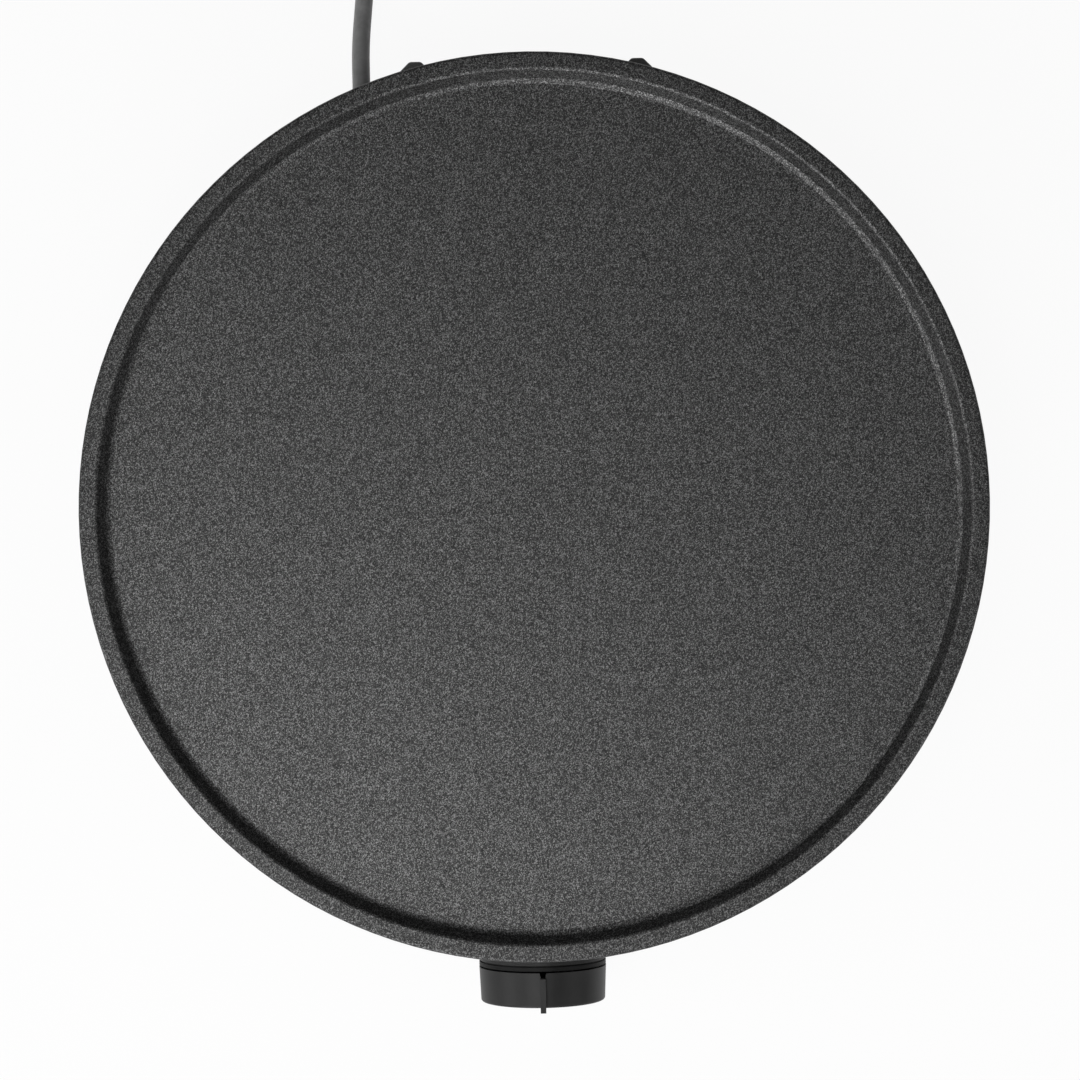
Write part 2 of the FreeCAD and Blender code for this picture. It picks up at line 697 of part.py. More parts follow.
def make_base_housing():
    """The moulded bowl that carries everything, with its bosses, posts and vents."""
    housing = new_body("base_housing")
    profile = [("0", "-base_drop"), (f"{floor_radius}-bottom_bevel", "-base_drop")]
    profile += [(f"{floor_radius}+bottom_bevel*{wall_slope}", "-base_drop+bottom_bevel")]
    shoulder = f"-{shoulder_drop}"
    profile += [(f"{housing_radius}-shoulder_bevel*{wall_slope}", f"{shoulder}-shoulder_bevel")]
    profile += [(housing_radius, f"{shoulder}+shoulder_bevel/2")]
    profile += [(housing_radius, f"-{housing_top}"), ("0", f"-{housing_top}")]
    turned(housing, outline(sketch(housing, "XZ"), profile))
    nose = circle(sketch(housing, "XZ"), "0", "-knob_drop", "knob_boss_radius")
    pad(housing, nose, boss_front)
    gland = circle(sketch(housing, "XZ"), "-cord_place", f"-{cord_drop}", "cord_boss_radius")
    pad(housing, gland, cord_boss_end, back=True)
    for side in ("-", ""):
        root = sketch(housing, "XZ")
        circle(root, f"{side}cleat_place", f"-{cleat_drop}", "cleat_pad_radius")
        pad(housing, root, cleat_seat, back=True)
    cavity = [("0", f"-{floor_inside}")]
    cavity += [(f"{floor_radius}-housing_wall+floor_thickness*{wall_slope}", f"-{floor_inside}")]
    cavity += [(f"{housing_radius}-housing_wall", f"-{shoulder_drop}")]
    cavity += [(f"{housing_radius}-housing_wall", f"-{housing_top}+1"), ("0", f"-{housing_top}+1")]
    turned(housing, outline(sketch(housing, "XZ"), cavity), "Groove")
    hollow = sketch(housing, "XZ", spindle_inner)
    circle(hollow, "0", "-knob_drop", "knob_boss_radius-knob_boss_wall")
    cut(housing, hollow, f"{boss_front}-knob_boss_wall-{spindle_inner}", forward=True)
    spindle_hole = sketch(housing, "XZ", spindle_inner)
    circle(spindle_hole, "0", "-knob_drop", "spindle_radius+spindle_hole_clearance")
    cut(housing, spindle_hole, f"{boss_front}-{spindle_inner}+1", forward=True)
    throat = sketch(housing, "XZ", f"-({cord_boss_end}+1)")
    circle(throat, "-cord_place", f"-{cord_drop}", "relief_spigot+hole_clearance")
    cut(housing, throat, f"{cord_boss_end}-{clamp_place}", forward=True)
    for side in ("-", ""):
        inside = sketch(housing, "XZ", f"-({cleat_seat}-cleat_seat_wall)")
        circle(inside, f"{side}cleat_place", f"-{cleat_drop}", "head_radius+0.4")
        cut(housing, inside, f"{cleat_seat}/6", forward=True)
        through = sketch(housing, "XZ", f"-({cleat_seat}+1)")
        circle(through, f"{side}cleat_place", f"-{cleat_drop}", clear_hole)
        cut(housing, through, "cleat_seat_wall+2", forward=True)
    column = circle(sketch(housing, "XY", "-base_drop+0.5"), "0", boss_ring, "boss_radius")
    post = pad(housing, column, f"base_drop-0.5-{post_top}")
    wide_hole = circle(sketch(housing, "XY", "-base_drop-1"), "0", boss_ring, "head_radius+0.4")
    sunk = cut(housing, wide_hole, f"base_drop+1-{post_top}-post_seat", forward=True)
    fine_hole = circle(sketch(housing, "XY", "-base_drop"), "0", boss_ring, clear_hole)
    drilled = cut(housing, fine_hole, f"base_drop-{post_top}+1", forward=True)
    ring_pattern(housing, [post, sunk, drilled], "boss_count")
    slot = sketch(housing, "XY", "-base_drop-1")
    far = "vent_inner+vent_length"
    box_outline(slot, "vent_inner", far, "-vent_width/2", "vent_width/2")
    vent = cut(housing, slot, "floor_thickness+2", forward=True)
    ring_pattern(housing, [vent], "vent_count")
    sockets = sketch(housing, "XY", "-base_drop-1")
    for left_right in ("-", ""):
        for front_rear in ("-", ""):
            across = f"{left_right}{foot_place}"
            along = f"{front_rear}{foot_place}"
            circle(sockets, across, along, "foot_stem+hole_clearance")
    cut(housing, sockets, "floor_thickness+2", forward=True)
    block_middle = f"{block_front}+block_length/2"
    for middle, spacing, high in (
        (block_middle, "block_boss_spacing", "block_boss"),
        (clamp_place, "clamp_screw_spacing", "clamp_boss"),
    ):
        stands = sketch(housing, "XY", f"-{floor_inside}-0.5")
        drill = sketch(housing, "XY", "-base_drop+0.8")
        for side in ("-", "+"):
            across = f"-cord_place{side}{spacing}/2"
            circle(stands, across, middle, "block_boss_radius")
            circle(drill, across, middle, small_thread_hole)
        pad(housing, stands, f"{high}+0.5")
        cut(housing, drill, "base_drop/2", forward=True)
    rest = sketch(housing, "XY", f"-{floor_inside}-0.5")
    left = "-cord_place-cord_radius-1"
    right = "-cord_place+cord_radius+1"
    near = f"{clamp_place}-clamp_length/2"
    box_outline(rest, left, right, near, f"{clamp_place}+clamp_length/2")
    pad(housing, rest, f"{floor_inside}-{cord_drop}-cord_radius-cord_saddle+0.5")
    keep(housing)


def make_feet():
    """Four rubber feet, each with a stem pushed through the floor and a bulb inside."""
    for name, across, along in (
        ("foot_front_left", f"-{foot_place}", f"-{foot_place}"),
        ("foot_front_right", foot_place, f"-{foot_place}"),
        ("foot_rear_left", f"-{foot_place}", foot_place),
        ("foot_rear_right", foot_place, foot_place),
    ):
        low = f"-{table_drop}"
        top = f"-{floor_inside}"
        profile = [("0", low), ("foot_radius-1", low), ("foot_radius", f"{low}+1")]
        profile += [("foot_radius", "-base_drop"), ("foot_stem", "-base_drop")]
        profile += [("foot_stem", top), ("foot_head", top)]
        profile += [("foot_stem*0.8", f"{top}+foot_head_height"), ("0", f"{top}+foot_head_height")]
        keep(place(lathe(name, profile), across, along))


def make_knob():
    """The dial ring, the knob with its pointer rib, and the spindle that it turns."""
    waist = "knob_boss_radius-dial_groove"
    profile = [("dial_inner", boss_front), (waist, boss_front)]
    profile += [(waist, f"{boss_front}+dial_groove"), ("knob_boss_radius", f"{boss_front}+dial_groove")]
    profile += [("knob_boss_radius", dial_front), ("dial_inner", dial_front)]
    keep(face_front(lathe("dial_ring", profile)))
    knob = new_body("control_knob")
    face = "knob_radius-knob_draft"
    inside = f"{knob_front}-knob_wall"
    profile = [("0", knob_front), (face, knob_front), ("knob_radius", knob_rear)]
    profile += [("knob_radius-knob_wall", knob_rear), (f"{face}-knob_wall", inside)]
    profile += [("hub_radius", inside), ("hub_radius", f"{knob_rear}+hub_recess")]
    profile += [(hub_inner, f"{knob_rear}+hub_recess"), (hub_inner, f"{spindle_front}+0.3")]
    turned(knob, outline(sketch(knob, "XZ"), profile + [("0", f"{spindle_front}+0.3")]))
    soften(knob, "Fillet", "knob_fillet", [on_ring(face, knob_front)])
    key = sketch(knob, "XY", f"{spindle_front}-flat_length+0.3")
    half = f"sqrt({hub_inner}*{hub_inner}-flat_height*flat_height)+0.2"
    box_outline(key, f"-({half})", half, "flat_height+hub_clearance", f"{hub_inner}+0.6")
    pad(knob, key, "flat_length+0.2")
    rib = sketch(knob, "YZ")
    top = "knob_radius+rib_proud"
    root = "knob_radius-knob_wall/2"
    ahead = f"{knob_front}+rib_front"
    behind = f"{knob_rear}+rib_setback"
    corners = [(root, behind), (top, behind), (top, ahead), ("hub_radius", ahead)]
    corners += [("hub_radius", f"{knob_front}-0.5"), (root, f"{knob_front}-0.5")]
    pad(knob, outline(rib, corners), "rib_width", both_ways=True)
    notch = sketch(knob, "XZ", "-(knob_radius-knob_wall-1)")
    wide = "notch_width/2"
    thin = "notch_end_width/2"
    corners = [(f"-{wide}", f"{knob_rear}-0.1"), (wide, f"{knob_rear}-0.1")]
    corners += [(thin, f"{knob_rear}+notch_length"), (f"-{thin}", f"{knob_rear}+notch_length")]
    cut(knob, outline(notch, corners), "knob_wall+2")
    keep(face_front(knob))
    bore = "(adjuster_radius+spindle_clearance)"
    deep = f"{spindle_inner}+adjuster_bore_depth"
    profile = [(bore, spindle_inner), ("spindle_radius", spindle_inner)]
    profile += [("spindle_radius", spindle_front), ("0", spindle_front), ("0", deep), (bore, deep)]
    spindle = lathe("thermostat_spindle", profile)
    flat = sketch(spindle, "XY", f"{spindle_front}+1")
    wide = "spindle_radius+1"
    box_outline(flat, f"-({wide})", wide, "flat_height", wide)
    cut(spindle, flat, "flat_length+1")
    keep(face_front(spindle))


def blade(label, low, thickness, reach, width="blade_width"):
    """A contact strip across the thermostat, clamped at the rivet, before its tab is added."""
    strip = new_body(label)
    drawing = sketch(strip, "XY", low)
    left = "-(stack_offset+blade_end)"
    box_outline(drawing, left, reach, f"-{width}/2", f"{width}/2")
    pad(strip, drawing, thickness)
    return strip


def add_tab(strip, low, thickness, left):
    """The tab for a wire, hanging from a contact strip."""
    drawing = sketch(strip, "XY", low)
    right = f"{left}+blade_end-0.5"
    box_outline(drawing, left, right, "-(blade_width/2+blade_tab)", "-blade_width/2+0.5")
    pad(strip, drawing, thickness)


def add_rivet_hole(strip, low, thickness):
    """The hole for the rivet that clamps the stack."""
    hole = circle(sketch(strip, "XY", f"{low}-1"), "-stack_offset", "0", rivet_hole)
    cut(strip, hole, f"{thickness}+2", forward=True)


def make_thermostat():
    """The bimetal thermostat: bracket, bush, riveted contact stack and adjusting pin."""
    bracket = new_body("thermostat_bracket")
    top = plate_under
    low = f"{top}-bracket_height"
    front = f"-({bracket_plane}+bracket_flange)"
    corners = [(f"-{bracket_rear}", top), (front, top), (front, f"{top}-bracket_thickness")]
    corners += [(f"-{bracket_plane}", f"{top}-bracket_thickness"), (f"-{bracket_plane}", low)]
    drawing = outline(sketch(bracket, "YZ"), corners + [(f"-{bracket_rear}", low)])
    pad(bracket, drawing, "bracket_width", both_ways=True)
    holes = sketch(bracket, "XZ", f"{bracket_rear}-1")
    circle(holes, "0", "-knob_drop", "bush_spigot+thread_clearance")
    circle(holes, "-stack_offset", "-knob_drop", rivet_hole)
    cut(bracket, holes, "bracket_thickness+2", forward=True)
    holes = sketch(bracket, "XY", f"{top}+1")
    for side in ("-", ""):
        across = f"{side}bracket_hole_spacing/2"
        circle(holes, across, f"-({bracket_plane}+bracket_hole_ahead)", clear_hole)
    cut(bracket, holes, "bracket_thickness+2")
    keep(bracket)

    bore = "(spindle_radius+spindle_clearance)"
    profile = [(bore, bracket_rear), ("bush_spigot", bracket_rear), ("bush_spigot", bracket_plane)]
    profile += [("bush_radius", bracket_plane), ("bush_radius", f"{bracket_plane}+bush_length")]
    keep(face_front(lathe("spindle_bush", profile + [(bore, f"{bracket_plane}+bush_length")])))

    closed = f"{stack_rear}-rivet_head_height"
    ahead = f"{bracket_plane}+rivet_head_height"
    profile = [("0", closed), ("rivet_head", closed), ("rivet_head", stack_rear)]
    profile += [("rivet_radius", stack_rear), ("rivet_radius", bracket_plane)]
    profile += [("rivet_head", bracket_plane), ("rivet_head", ahead), ("0", ahead)]
    keep(face_front(lathe("stack_rivet", profile), "-stack_offset"))

    spacers = []
    gaps = ((arm_front, bracket_rear), (fixed_front, arm_rear), (bimetal_front, fixed_rear))
    for number, (low, high) in enumerate(gaps + ((stack_rear, bimetal_rear),), start=1):
        spacer = tube_ring(f"spacer_{number}", low, high, rivet_hole, "spacer_radius")
        spacers.append(face_front(spacer, "-stack_offset"))
    group("ceramic_spacers", spacers)

    root = blade("moving_contact_root", arm_rear, "arm_thickness", "-(arm_root+arm_gap)")
    add_tab(root, arm_rear, "arm_thickness", "-(stack_offset+blade_end)")
    add_rivet_hole(root, arm_rear, "arm_thickness")
    keep(face_front(root))

    arm = new_body("moving_contact_arm")
    strip = sketch(arm, "XY", arm_rear)
    box_outline(strip, "-arm_root", "arm_reach", "-arm_width/2", "arm_width/2")
    pad(arm, strip, "arm_thickness")
    stud = circle(sketch(arm, "XY", f"{arm_rear}+0.2"), "contact_place", "0", "contact_radius")
    pad(arm, stud, "contact_height+0.2", back=True)
    eye = circle(sketch(arm, "XZ"), "-arm_root", f"{arm_rear}+arm_thickness/2", "arm_eye")
    pad(arm, eye, "arm_width", both_ways=True)
    keep(face_front(arm))

    fixed = blade("fixed_contact_blade", fixed_rear, "fixed_thickness", "fixed_reach")
    add_tab(fixed, fixed_rear, "fixed_thickness", "-(stack_offset-blade_end/2)")
    add_rivet_hole(fixed, fixed_rear, "fixed_thickness")
    stud = circle(sketch(fixed, "XY", f"{fixed_front}-0.2"), "contact_place", "0", "contact_radius")
    pad(fixed, stud, "contact_height+0.2")
    keep(face_front(fixed))

    bimetal = blade("bimetal_blade", bimetal_rear, "bimetal_thickness", "bimetal_reach")
    add_rivet_hole(bimetal, bimetal_rear, "bimetal_thickness")
    keep(face_front(bimetal))

    pin_front = f"{spindle_inner}+adjuster_bore_depth-adjuster_gap"
    pin = rod("adjuster_pin", f"{arm_front}+adjuster_gap", pin_front, "adjuster_radius")
    keep(face_front(pin))


def make_plate_fittings():
    """The earth tab, and the short screws that fix it and the thermostat to the plate."""
    tab = new_body("earth_tab")
    top = plate_under
    front = f"-({earth_place}+earth_reach)"
    rear = f"-({earth_place}-earth_tail)"
    corners = [(rear, top), (f"{front}-tab_thickness", top)]
    corners += [(f"{front}-tab_thickness", f"{top}-earth_tongue"), (front, f"{top}-earth_tongue")]
    corners += [(front, f"{top}-tab_thickness"), (rear, f"{top}-tab_thickness")]
    pad(tab, outline(sketch(tab, "YZ"), corners), "tab_width", both_ways=True)
    hole = circle(sketch(tab, "XY", f"{top}+1"), "0", f"-{earth_place}", clear_hole)
    cut(tab, hole, "tab_thickness+2")
    keep(tab)
    along = f"-({bracket_plane}+bracket_hole_ahead)"
    seat = f"{top}-bracket_thickness"
    screws = []
    for name, across, place_along, up in (
        ("bracket_screw_left", "-bracket_hole_spacing/2", along, seat),
        ("bracket_screw_right", "bracket_hole_spacing/2", along, seat),
        ("earth_screw", "0", f"-{earth_place}", f"{top}-tab_thickness"),
    ):
        bolt = screw(name, "plate_hole_depth+0.6")
        screws.append(place(bolt, across, place_along, up))
    group("plate_screws", screws)


def make_fuse():
    """The thermal fuse and the spring clip that holds it up against the reflector."""
    half = "fuse_length/2"
    fuse = rod("thermal_fuse", f"-{half}", half, "fuse_radius")
    keep(place(fuse, "fuse_place", "0", fuse_up, V(0, 1, 0), 90))
    clip = new_body("fuse_clip")
    top = f"-{reflector_under}"
    inner = "(fuse_radius+fuse_gap)"
    outer = f"({inner}+clip_thickness)"
    deep = f"{top}-2*fuse_radius-2*fuse_gap"
    foot = f"({outer}+clip_foot)"
    under = f"{top}-clip_thickness"
    low = f"{deep}-clip_thickness"
    corners = [(inner, top), (foot, top), (foot, under), (outer, under), (outer, low)]
    corners += [(f"-{outer}", low), (f"-{outer}", under), (f"-{foot}", under), (f"-{foot}", top)]
    corners += [(f"-{inner}", top), (f"-{inner}", deep), (inner, deep)]
    pad(clip, outline(sketch(clip, "YZ"), corners), "clip_length", both_ways=True)
    keep(place(clip, "fuse_place"))


def make_terminal_block():
    """The three way terminal block on two stands, with its screws."""
    block = new_body("terminal_block")
    body = sketch(block, "XY", f"-{block_under}")
    left = "-cord_place-block_width/2"
    right = "-cord_place+block_width/2"
    box_outline(body, left, right, block_front, f"{block_front}+block_length")
    pad(block, body, "block_height")
    ports = sketch(block, "XZ", f"-({block_front}+block_length+1)")
    for number in (-1, 0, 1):
        circle(ports, f"-cord_place+port_spacing*{number}", f"-{cord_drop}", "port_radius")
    cut(block, ports, "block_length+2", forward=True)
    holes = sketch(block, "XY", f"-{block_under}-1")
    middle = f"{block_front}+block_length/2"
    screws = []
    for side in ("-", "+"):
        across = f"-cord_place{side}block_boss_spacing/2"
        circle(holes, across, middle, small_clear_hole)
        bolt = small_screw(f"block_screw_{len(screws)}", "block_height+block_boss+0.8")
        screws.append(turned_down(bolt, across, middle, f"-{block_under}+block_height"))
    cut(block, holes, "block_height+2", forward=True)
    keep(block)
    group("block_screws", screws)


def small_screw(label, length):
    """The smaller screw of the terminal block and the cord clamp."""
    return screw(label, length, "small_screw_radius", "small_head_radius", "small_head_height")


def turned_down(piece, across, along, up):
    """Place a screw so that it points down."""
    return place(piece, across, along, up, V(1, 0, 0), 180)


def make_cord_clamp():
    """The bar that grips the cord inside, and its two screws."""
    bar = new_body("cord_clamp")
    body = sketch(bar, "XY", f"-{clamp_seat}")
    left = "-cord_place-clamp_width/2"
    right = "-cord_place+clamp_width/2"
    near = f"{clamp_place}-clamp_length/2"
    box_outline(body, left, right, near, f"{clamp_place}+clamp_length/2")
    pad(bar, body, "clamp_height")
    throat = sketch(bar, "XZ", f"-({clamp_place}+clamp_length/2+1)")
    wide = "(cord_radius+hole_clearance)"
    high = f"-{cord_drop}+{wide}"
    left = f"-cord_place-{wide}"
    box_outline(throat, left, f"-cord_place+{wide}", f"-{clamp_seat}-1", high)
    cut(bar, throat, "clamp_length+2", forward=True)
    holes = sketch(bar, "XY", f"-{clamp_seat}-1")
    screws = []
    for side in ("-", "+"):
        across = f"-cord_place{side}clamp_screw_spacing/2"
        circle(holes, across, clamp_place, small_clear_hole)
        bolt = small_screw(f"clamp_screw_{len(screws)}", "clamp_height+clamp_boss+0.8")
        screws.append(turned_down(bolt, across, clamp_place, f"-{clamp_seat}+clamp_height"))
    cut(bar, holes, "clamp_height+2", forward=True)
    keep(bar)
    group("clamp_screws", screws)


def lead(label, first, last, bends):
    """A lead between two ends. A bend is a share of the way, a swing to its left and a height."""
    way = V(last.x - first.x, last.y - first.y, 0)
    left = V(-way.y, way.x, 0).normalize()
    route = [first]
    for share, swing, rise in bends:
        spot = first + way * share + left * swing
        route.append(V(spot.x, spot.y, rise - size(floor_inside)))
    keep(tube(label, route + [last], size("wire_radius")))


def make_wiring(left_leg, right_leg):
    """The cord's inner end, its three cores, and the leads inside the base."""
    cord_up = size(f"-{cord_drop}")
    centre = -size("cord_place")
    gap = size("wire_gap")
    inner = rod("cord_inner_end", cord_inner_end, relief_end, "cord_radius")
    keep(place(inner, "-cord_place", "0", f"-{cord_drop}", V(1, 0, 0), -90))
    near = size(cord_inner_end) - gap
    port_mouth = size(f"{block_front}+block_length")
    step = near - port_mouth
    cores = []
    for number in (-1, 0, 1):
        start = centre + number * size("core_spacing")
        port = centre + number * size("port_spacing")
        sway = size("core_radius/2") if number == 0 else 0
        route = [V(start, near, cord_up), V(start + sway, near - step / 4, cord_up)]
        route.append(V(port, port_mouth + step / 4, cord_up + sway))
        route.append(V(port, port_mouth - size("core_insert"), cord_up))
        cores.append(tube(f"core_{number + 2}", route, size("core_radius")))
    group("cord_cores", cores)

    port_front = size(f"{block_front}+wire_insert")
    live, earth, neutral = [
        V(centre + number * size("port_spacing"), port_front, cord_up) for number in (-1, 0, 1)
    ]
    tab_middle = size("(blade_end-0.5)/2")
    tab_up = -size("knob_drop+blade_width/2+blade_tab/2")
    fixed_tab = V(tab_middle - size("stack_offset-blade_end/2"), gap - size(fixed_rear), tab_up)
    root_tab = V(tab_middle - size("stack_offset+blade_end"), gap - size(arm_rear), tab_up)
    fuse_side = V(size("fuse_length/2") + gap, 0, 0)
    fuse_middle = V(size("fuse_place"), 0, size(fuse_up))
    on_tab = V(0, size("tab_thickness/2") + gap, -size("seal_length+tab_length/2"))
    earth_front = size(f"{earth_place}+earth_reach+tab_thickness") + gap + size("wire_radius")
    earth_top = V(0, -earth_front, size(plate_under) - 4)
    lead("live_lead", live, fixed_tab, (
        (0.07, -4, 5.5), (0.27, -9, 4.5), (0.52, -13.5, 5), (0.77, -8.3, 7.5), (0.89, 2.9, 10.5),
    ))
    lead("neutral_lead", neutral, fuse_middle - fuse_side, (
        (0.12, -8.3, 7.5), (0.46, -14.7, 14.5), (0.79, -9.6, 25.5),
    ))
    lead("fused_lead", fuse_middle + fuse_side, right_leg + on_tab, (
        (0.06, 10, 27.6), (0.27, 19, 19.5), (0.58, 15.3, 10.5), (0.82, 4.4, 8.5),
    ))
    lead("earth_lead", earth, earth_top, (
        (0.1, -5.8, 5.5), (0.33, -6.9, 3), (0.61, -1.5, 3), (0.85, 3.8, 5.5),
        (1.006, -0.1, 14.5), (0.999, 0.1, 27.5),
    ))
    loop = root_tab.y + size("wire_loop")
    switched = [
        root_tab,
        V(root_tab.x, loop - 6, tab_up - 1.5),
        V(root_tab.x - 3.5, loop + 1, tab_up - 3.5),
        V(left_leg.x + 0.5, loop - 1, left_leg.z - 10),
        left_leg + on_tab,
    ]
    keep(tube("switched_lead", switched, size("wire_radius")))


def make_strain_relief():
    """The rubber boot on the cord: a spigot in the housing, a flange and a taper."""
    bore = "(cord_radius+thread_clearance)"
    start = f"{cord_boss_end}-relief_spigot_length"
    root = f"{cord_boss_end}+relief_flange"
    profile = [(bore, start), ("relief_spigot", start), ("relief_spigot", cord_boss_end)]
    profile += [("cord_boss_radius-0.5", cord_boss_end), ("cord_boss_radius-0.5", root)]
    profile += [("relief_root", root), ("relief_tip", relief_end), (bore, relief_end)]
    relief = lathe("strain_relief", profile)
    keep(place(relief, "-cord_place", "0", f"-{cord_drop}", V(1, 0, 0), -90))


def make_cleats():
    """Two cleats that the cord winds round for storage, each held by a screw from inside."""
    screws = []
    for name, side in (("cord_cleat_left", "-"), ("cord_cleat_right", "")):
        cleat = new_body(name)
        arm = sketch(cleat, "XZ", f"-{cleat_seat}")
        wide = "cleat_arm_width/2"
        tall = "cleat_arm_height/2"
        box_outline(arm, f"-{wide}", wide, f"-{tall}", tall)
        pad(cleat, arm, f"{cleat_plate_near}-{cleat_seat}+0.5", back=True)
        end = sketch(cleat, "XY", "-cleat_plate_height/2")
        near = "cleat_plate_width/2"
        far = "cleat_plate_tip/2"
        corners = [(f"-{near}", cleat_plate_near), (near, cleat_plate_near)]
        corners += [(far, cleat_plate_far), (f"-{far}", cleat_plate_far)]
        pad(cleat, outline(end, corners), "cleat_plate_height")
        back = size(cleat_plate_far)
        outer = [V(sign * size(far), back, 0) for sign in (-1, 1)]
        soften(cleat, "Fillet", "cleat_corner", outer)
        ends = [V(0, back, sign * size("cleat_plate_height/2")) for sign in (-1, 1)]
        soften(cleat, "Fillet", "cleat_edge", ends)
        hole = circle(sketch(cleat, "XZ", f"-{cleat_seat}"), "0", "0", thread_hole)
        cut(cleat, hole, "cleat_hole_depth")
        place(cleat, f"{side}cleat_place", "0", f"-{cleat_drop}")
        keep(cleat)
        bolt = screw(f"cleat_screw_{name}", "cleat_screw_length")
        seat = f"{cleat_seat}-cleat_seat_wall"
        place(bolt, f"{side}cleat_place", seat, f"-{cleat_drop}", V(1, 0, 0), -90)
        screws.append(bolt)
    group("cleat_screws", screws)


def coil_knots():
    """Where the coil's line is at each quarter turn, and the way that it heads there."""
    pitch = size(coil_pitch)
    outer = size("coil_radius")
    turns = size("coil_turns")
    total = turns + size("coil_turns_back")
    centre = V(size(coil_x), size("coil_start"), size(cord_floor))

    def spot(turn):
        radius = outer - pitch * turns + pitch * abs(turn - turns)
        share = min(max((turn - turns) * 2 + 0.5, 0), 1)
        rise = pitch * share * share * (3 - 2 * share)
        angle = math.pi - 2 * math.pi * turn
        return centre + V(radius * math.cos(angle), radius * math.sin(angle), rise)

    count = round(total * 4)
    knots = []
    for index in range(count + 1):
        turn = total * index / count
        heading = (spot(min(turn + 0.001, total)) - spot(max(turn - 0.001, 0))).normalize()
        knots.append([spot(turn), heading])
    end_angle = math.pi - 2 * math.pi * total
    knots[0][1] = V(0, 1, 0)
    knots[-1][1] = V(math.sin(end_angle), -math.cos(end_angle), 0)
    return knots


def biarc(start, heading, end, final):
    """Two arcs that leave one place and reach another, tangent at both and to each other."""
    chord = end - start
    along = chord.dot(heading + final)
    flat = 2 * (1 - heading.dot(final))
    reach = (math.sqrt(along ** 2 + flat * chord.dot(chord)) - along) / flat
    joint = (start + end + (heading - final) * reach) * 0.5
    arcs = []
    for first, last, way in ((start, joint, heading), (end, joint, final * -1)):
        line = last - first
        turn = way.getAngle(line)
        side = way - line * (way.dot(line) / line.dot(line))
        middle = (first + last) * 0.5 + side.normalize() * (line.Length / 2 * math.tan(turn / 2))
        arcs.append(Part.Arc(first, middle, last).toShape())
    return arcs


def least_gap(path, radius, step=2.0):
    """The least clear distance between stretches of one tube, measured on points."""
    spots = path.discretize(Distance=step)
    apart = int(6 * radius / step)
    nearest = 1000.0
    for index, spot in enumerate(spots):
        for other in spots[index + apart:]:
            nearest = min(nearest, spot.distanceToPoint(other))
    return nearest - 2 * radius


def make_cord():
    """The free cord: its run to the coil, the coil, and the tail to the plug."""
    radius = size("cord_radius")
    straight = 2 * radius
    knots = coil_knots()
    begin = knots[0][0] - knots[0][1] * straight
    finish = knots[-1][0] + knots[-1][1] * straight
    exit_point = V(-size("cord_place"), size(relief_end), -size(cord_drop))
    route = [
        exit_point,
        V(exit_point.x, 156, exit_point.z),
        V(-61.1, 171, -50.6),
        V(-60, 187, -57.2),
        V(-58.6, 203, -59.7),
        V(begin.x, 218.5, begin.z),
        begin,
    ]
    keep(tube("power_cord", route, radius))

    edges = [Part.LineSegment(begin, knots[0][0]).toShape()]
    for (start, heading), (end, final) in zip(knots, knots[1:]):
        edges += biarc(start, heading, end, final)
    edges.append(Part.LineSegment(knots[-1][0], finish).toShape())
    path = Part.Wire(edges)
    coil = doc.addObject("Part::Feature", "cord_coil")
    coil.Label = "cord_coil"
    coil.Shape = sweep(path, begin, knots[0][1], radius)
    coil.Placement = FreeCAD.Placement()
    keep(coil)
    gap = least_gap(path, radius)
    print(f"cord_coil: length {path.Length:.1f}, least gap to itself {gap:.2f}")

    axis = size(f"-{table_drop}+plug_radius")
    plug_start = size("plug_start")
    along = finish.y
    tail = [
        finish,
        V(5, along, finish.z),
        V(19.5, along + 0.4, -54),
        V(34.5, along + 0.6, -53.4),
        V(49.5, along + 0.4, -49.6),
        V(64.5, along, axis),
        V(plug_start, along, axis),
    ]
    keep(tube("cord_tail", tail, radius))
    return along


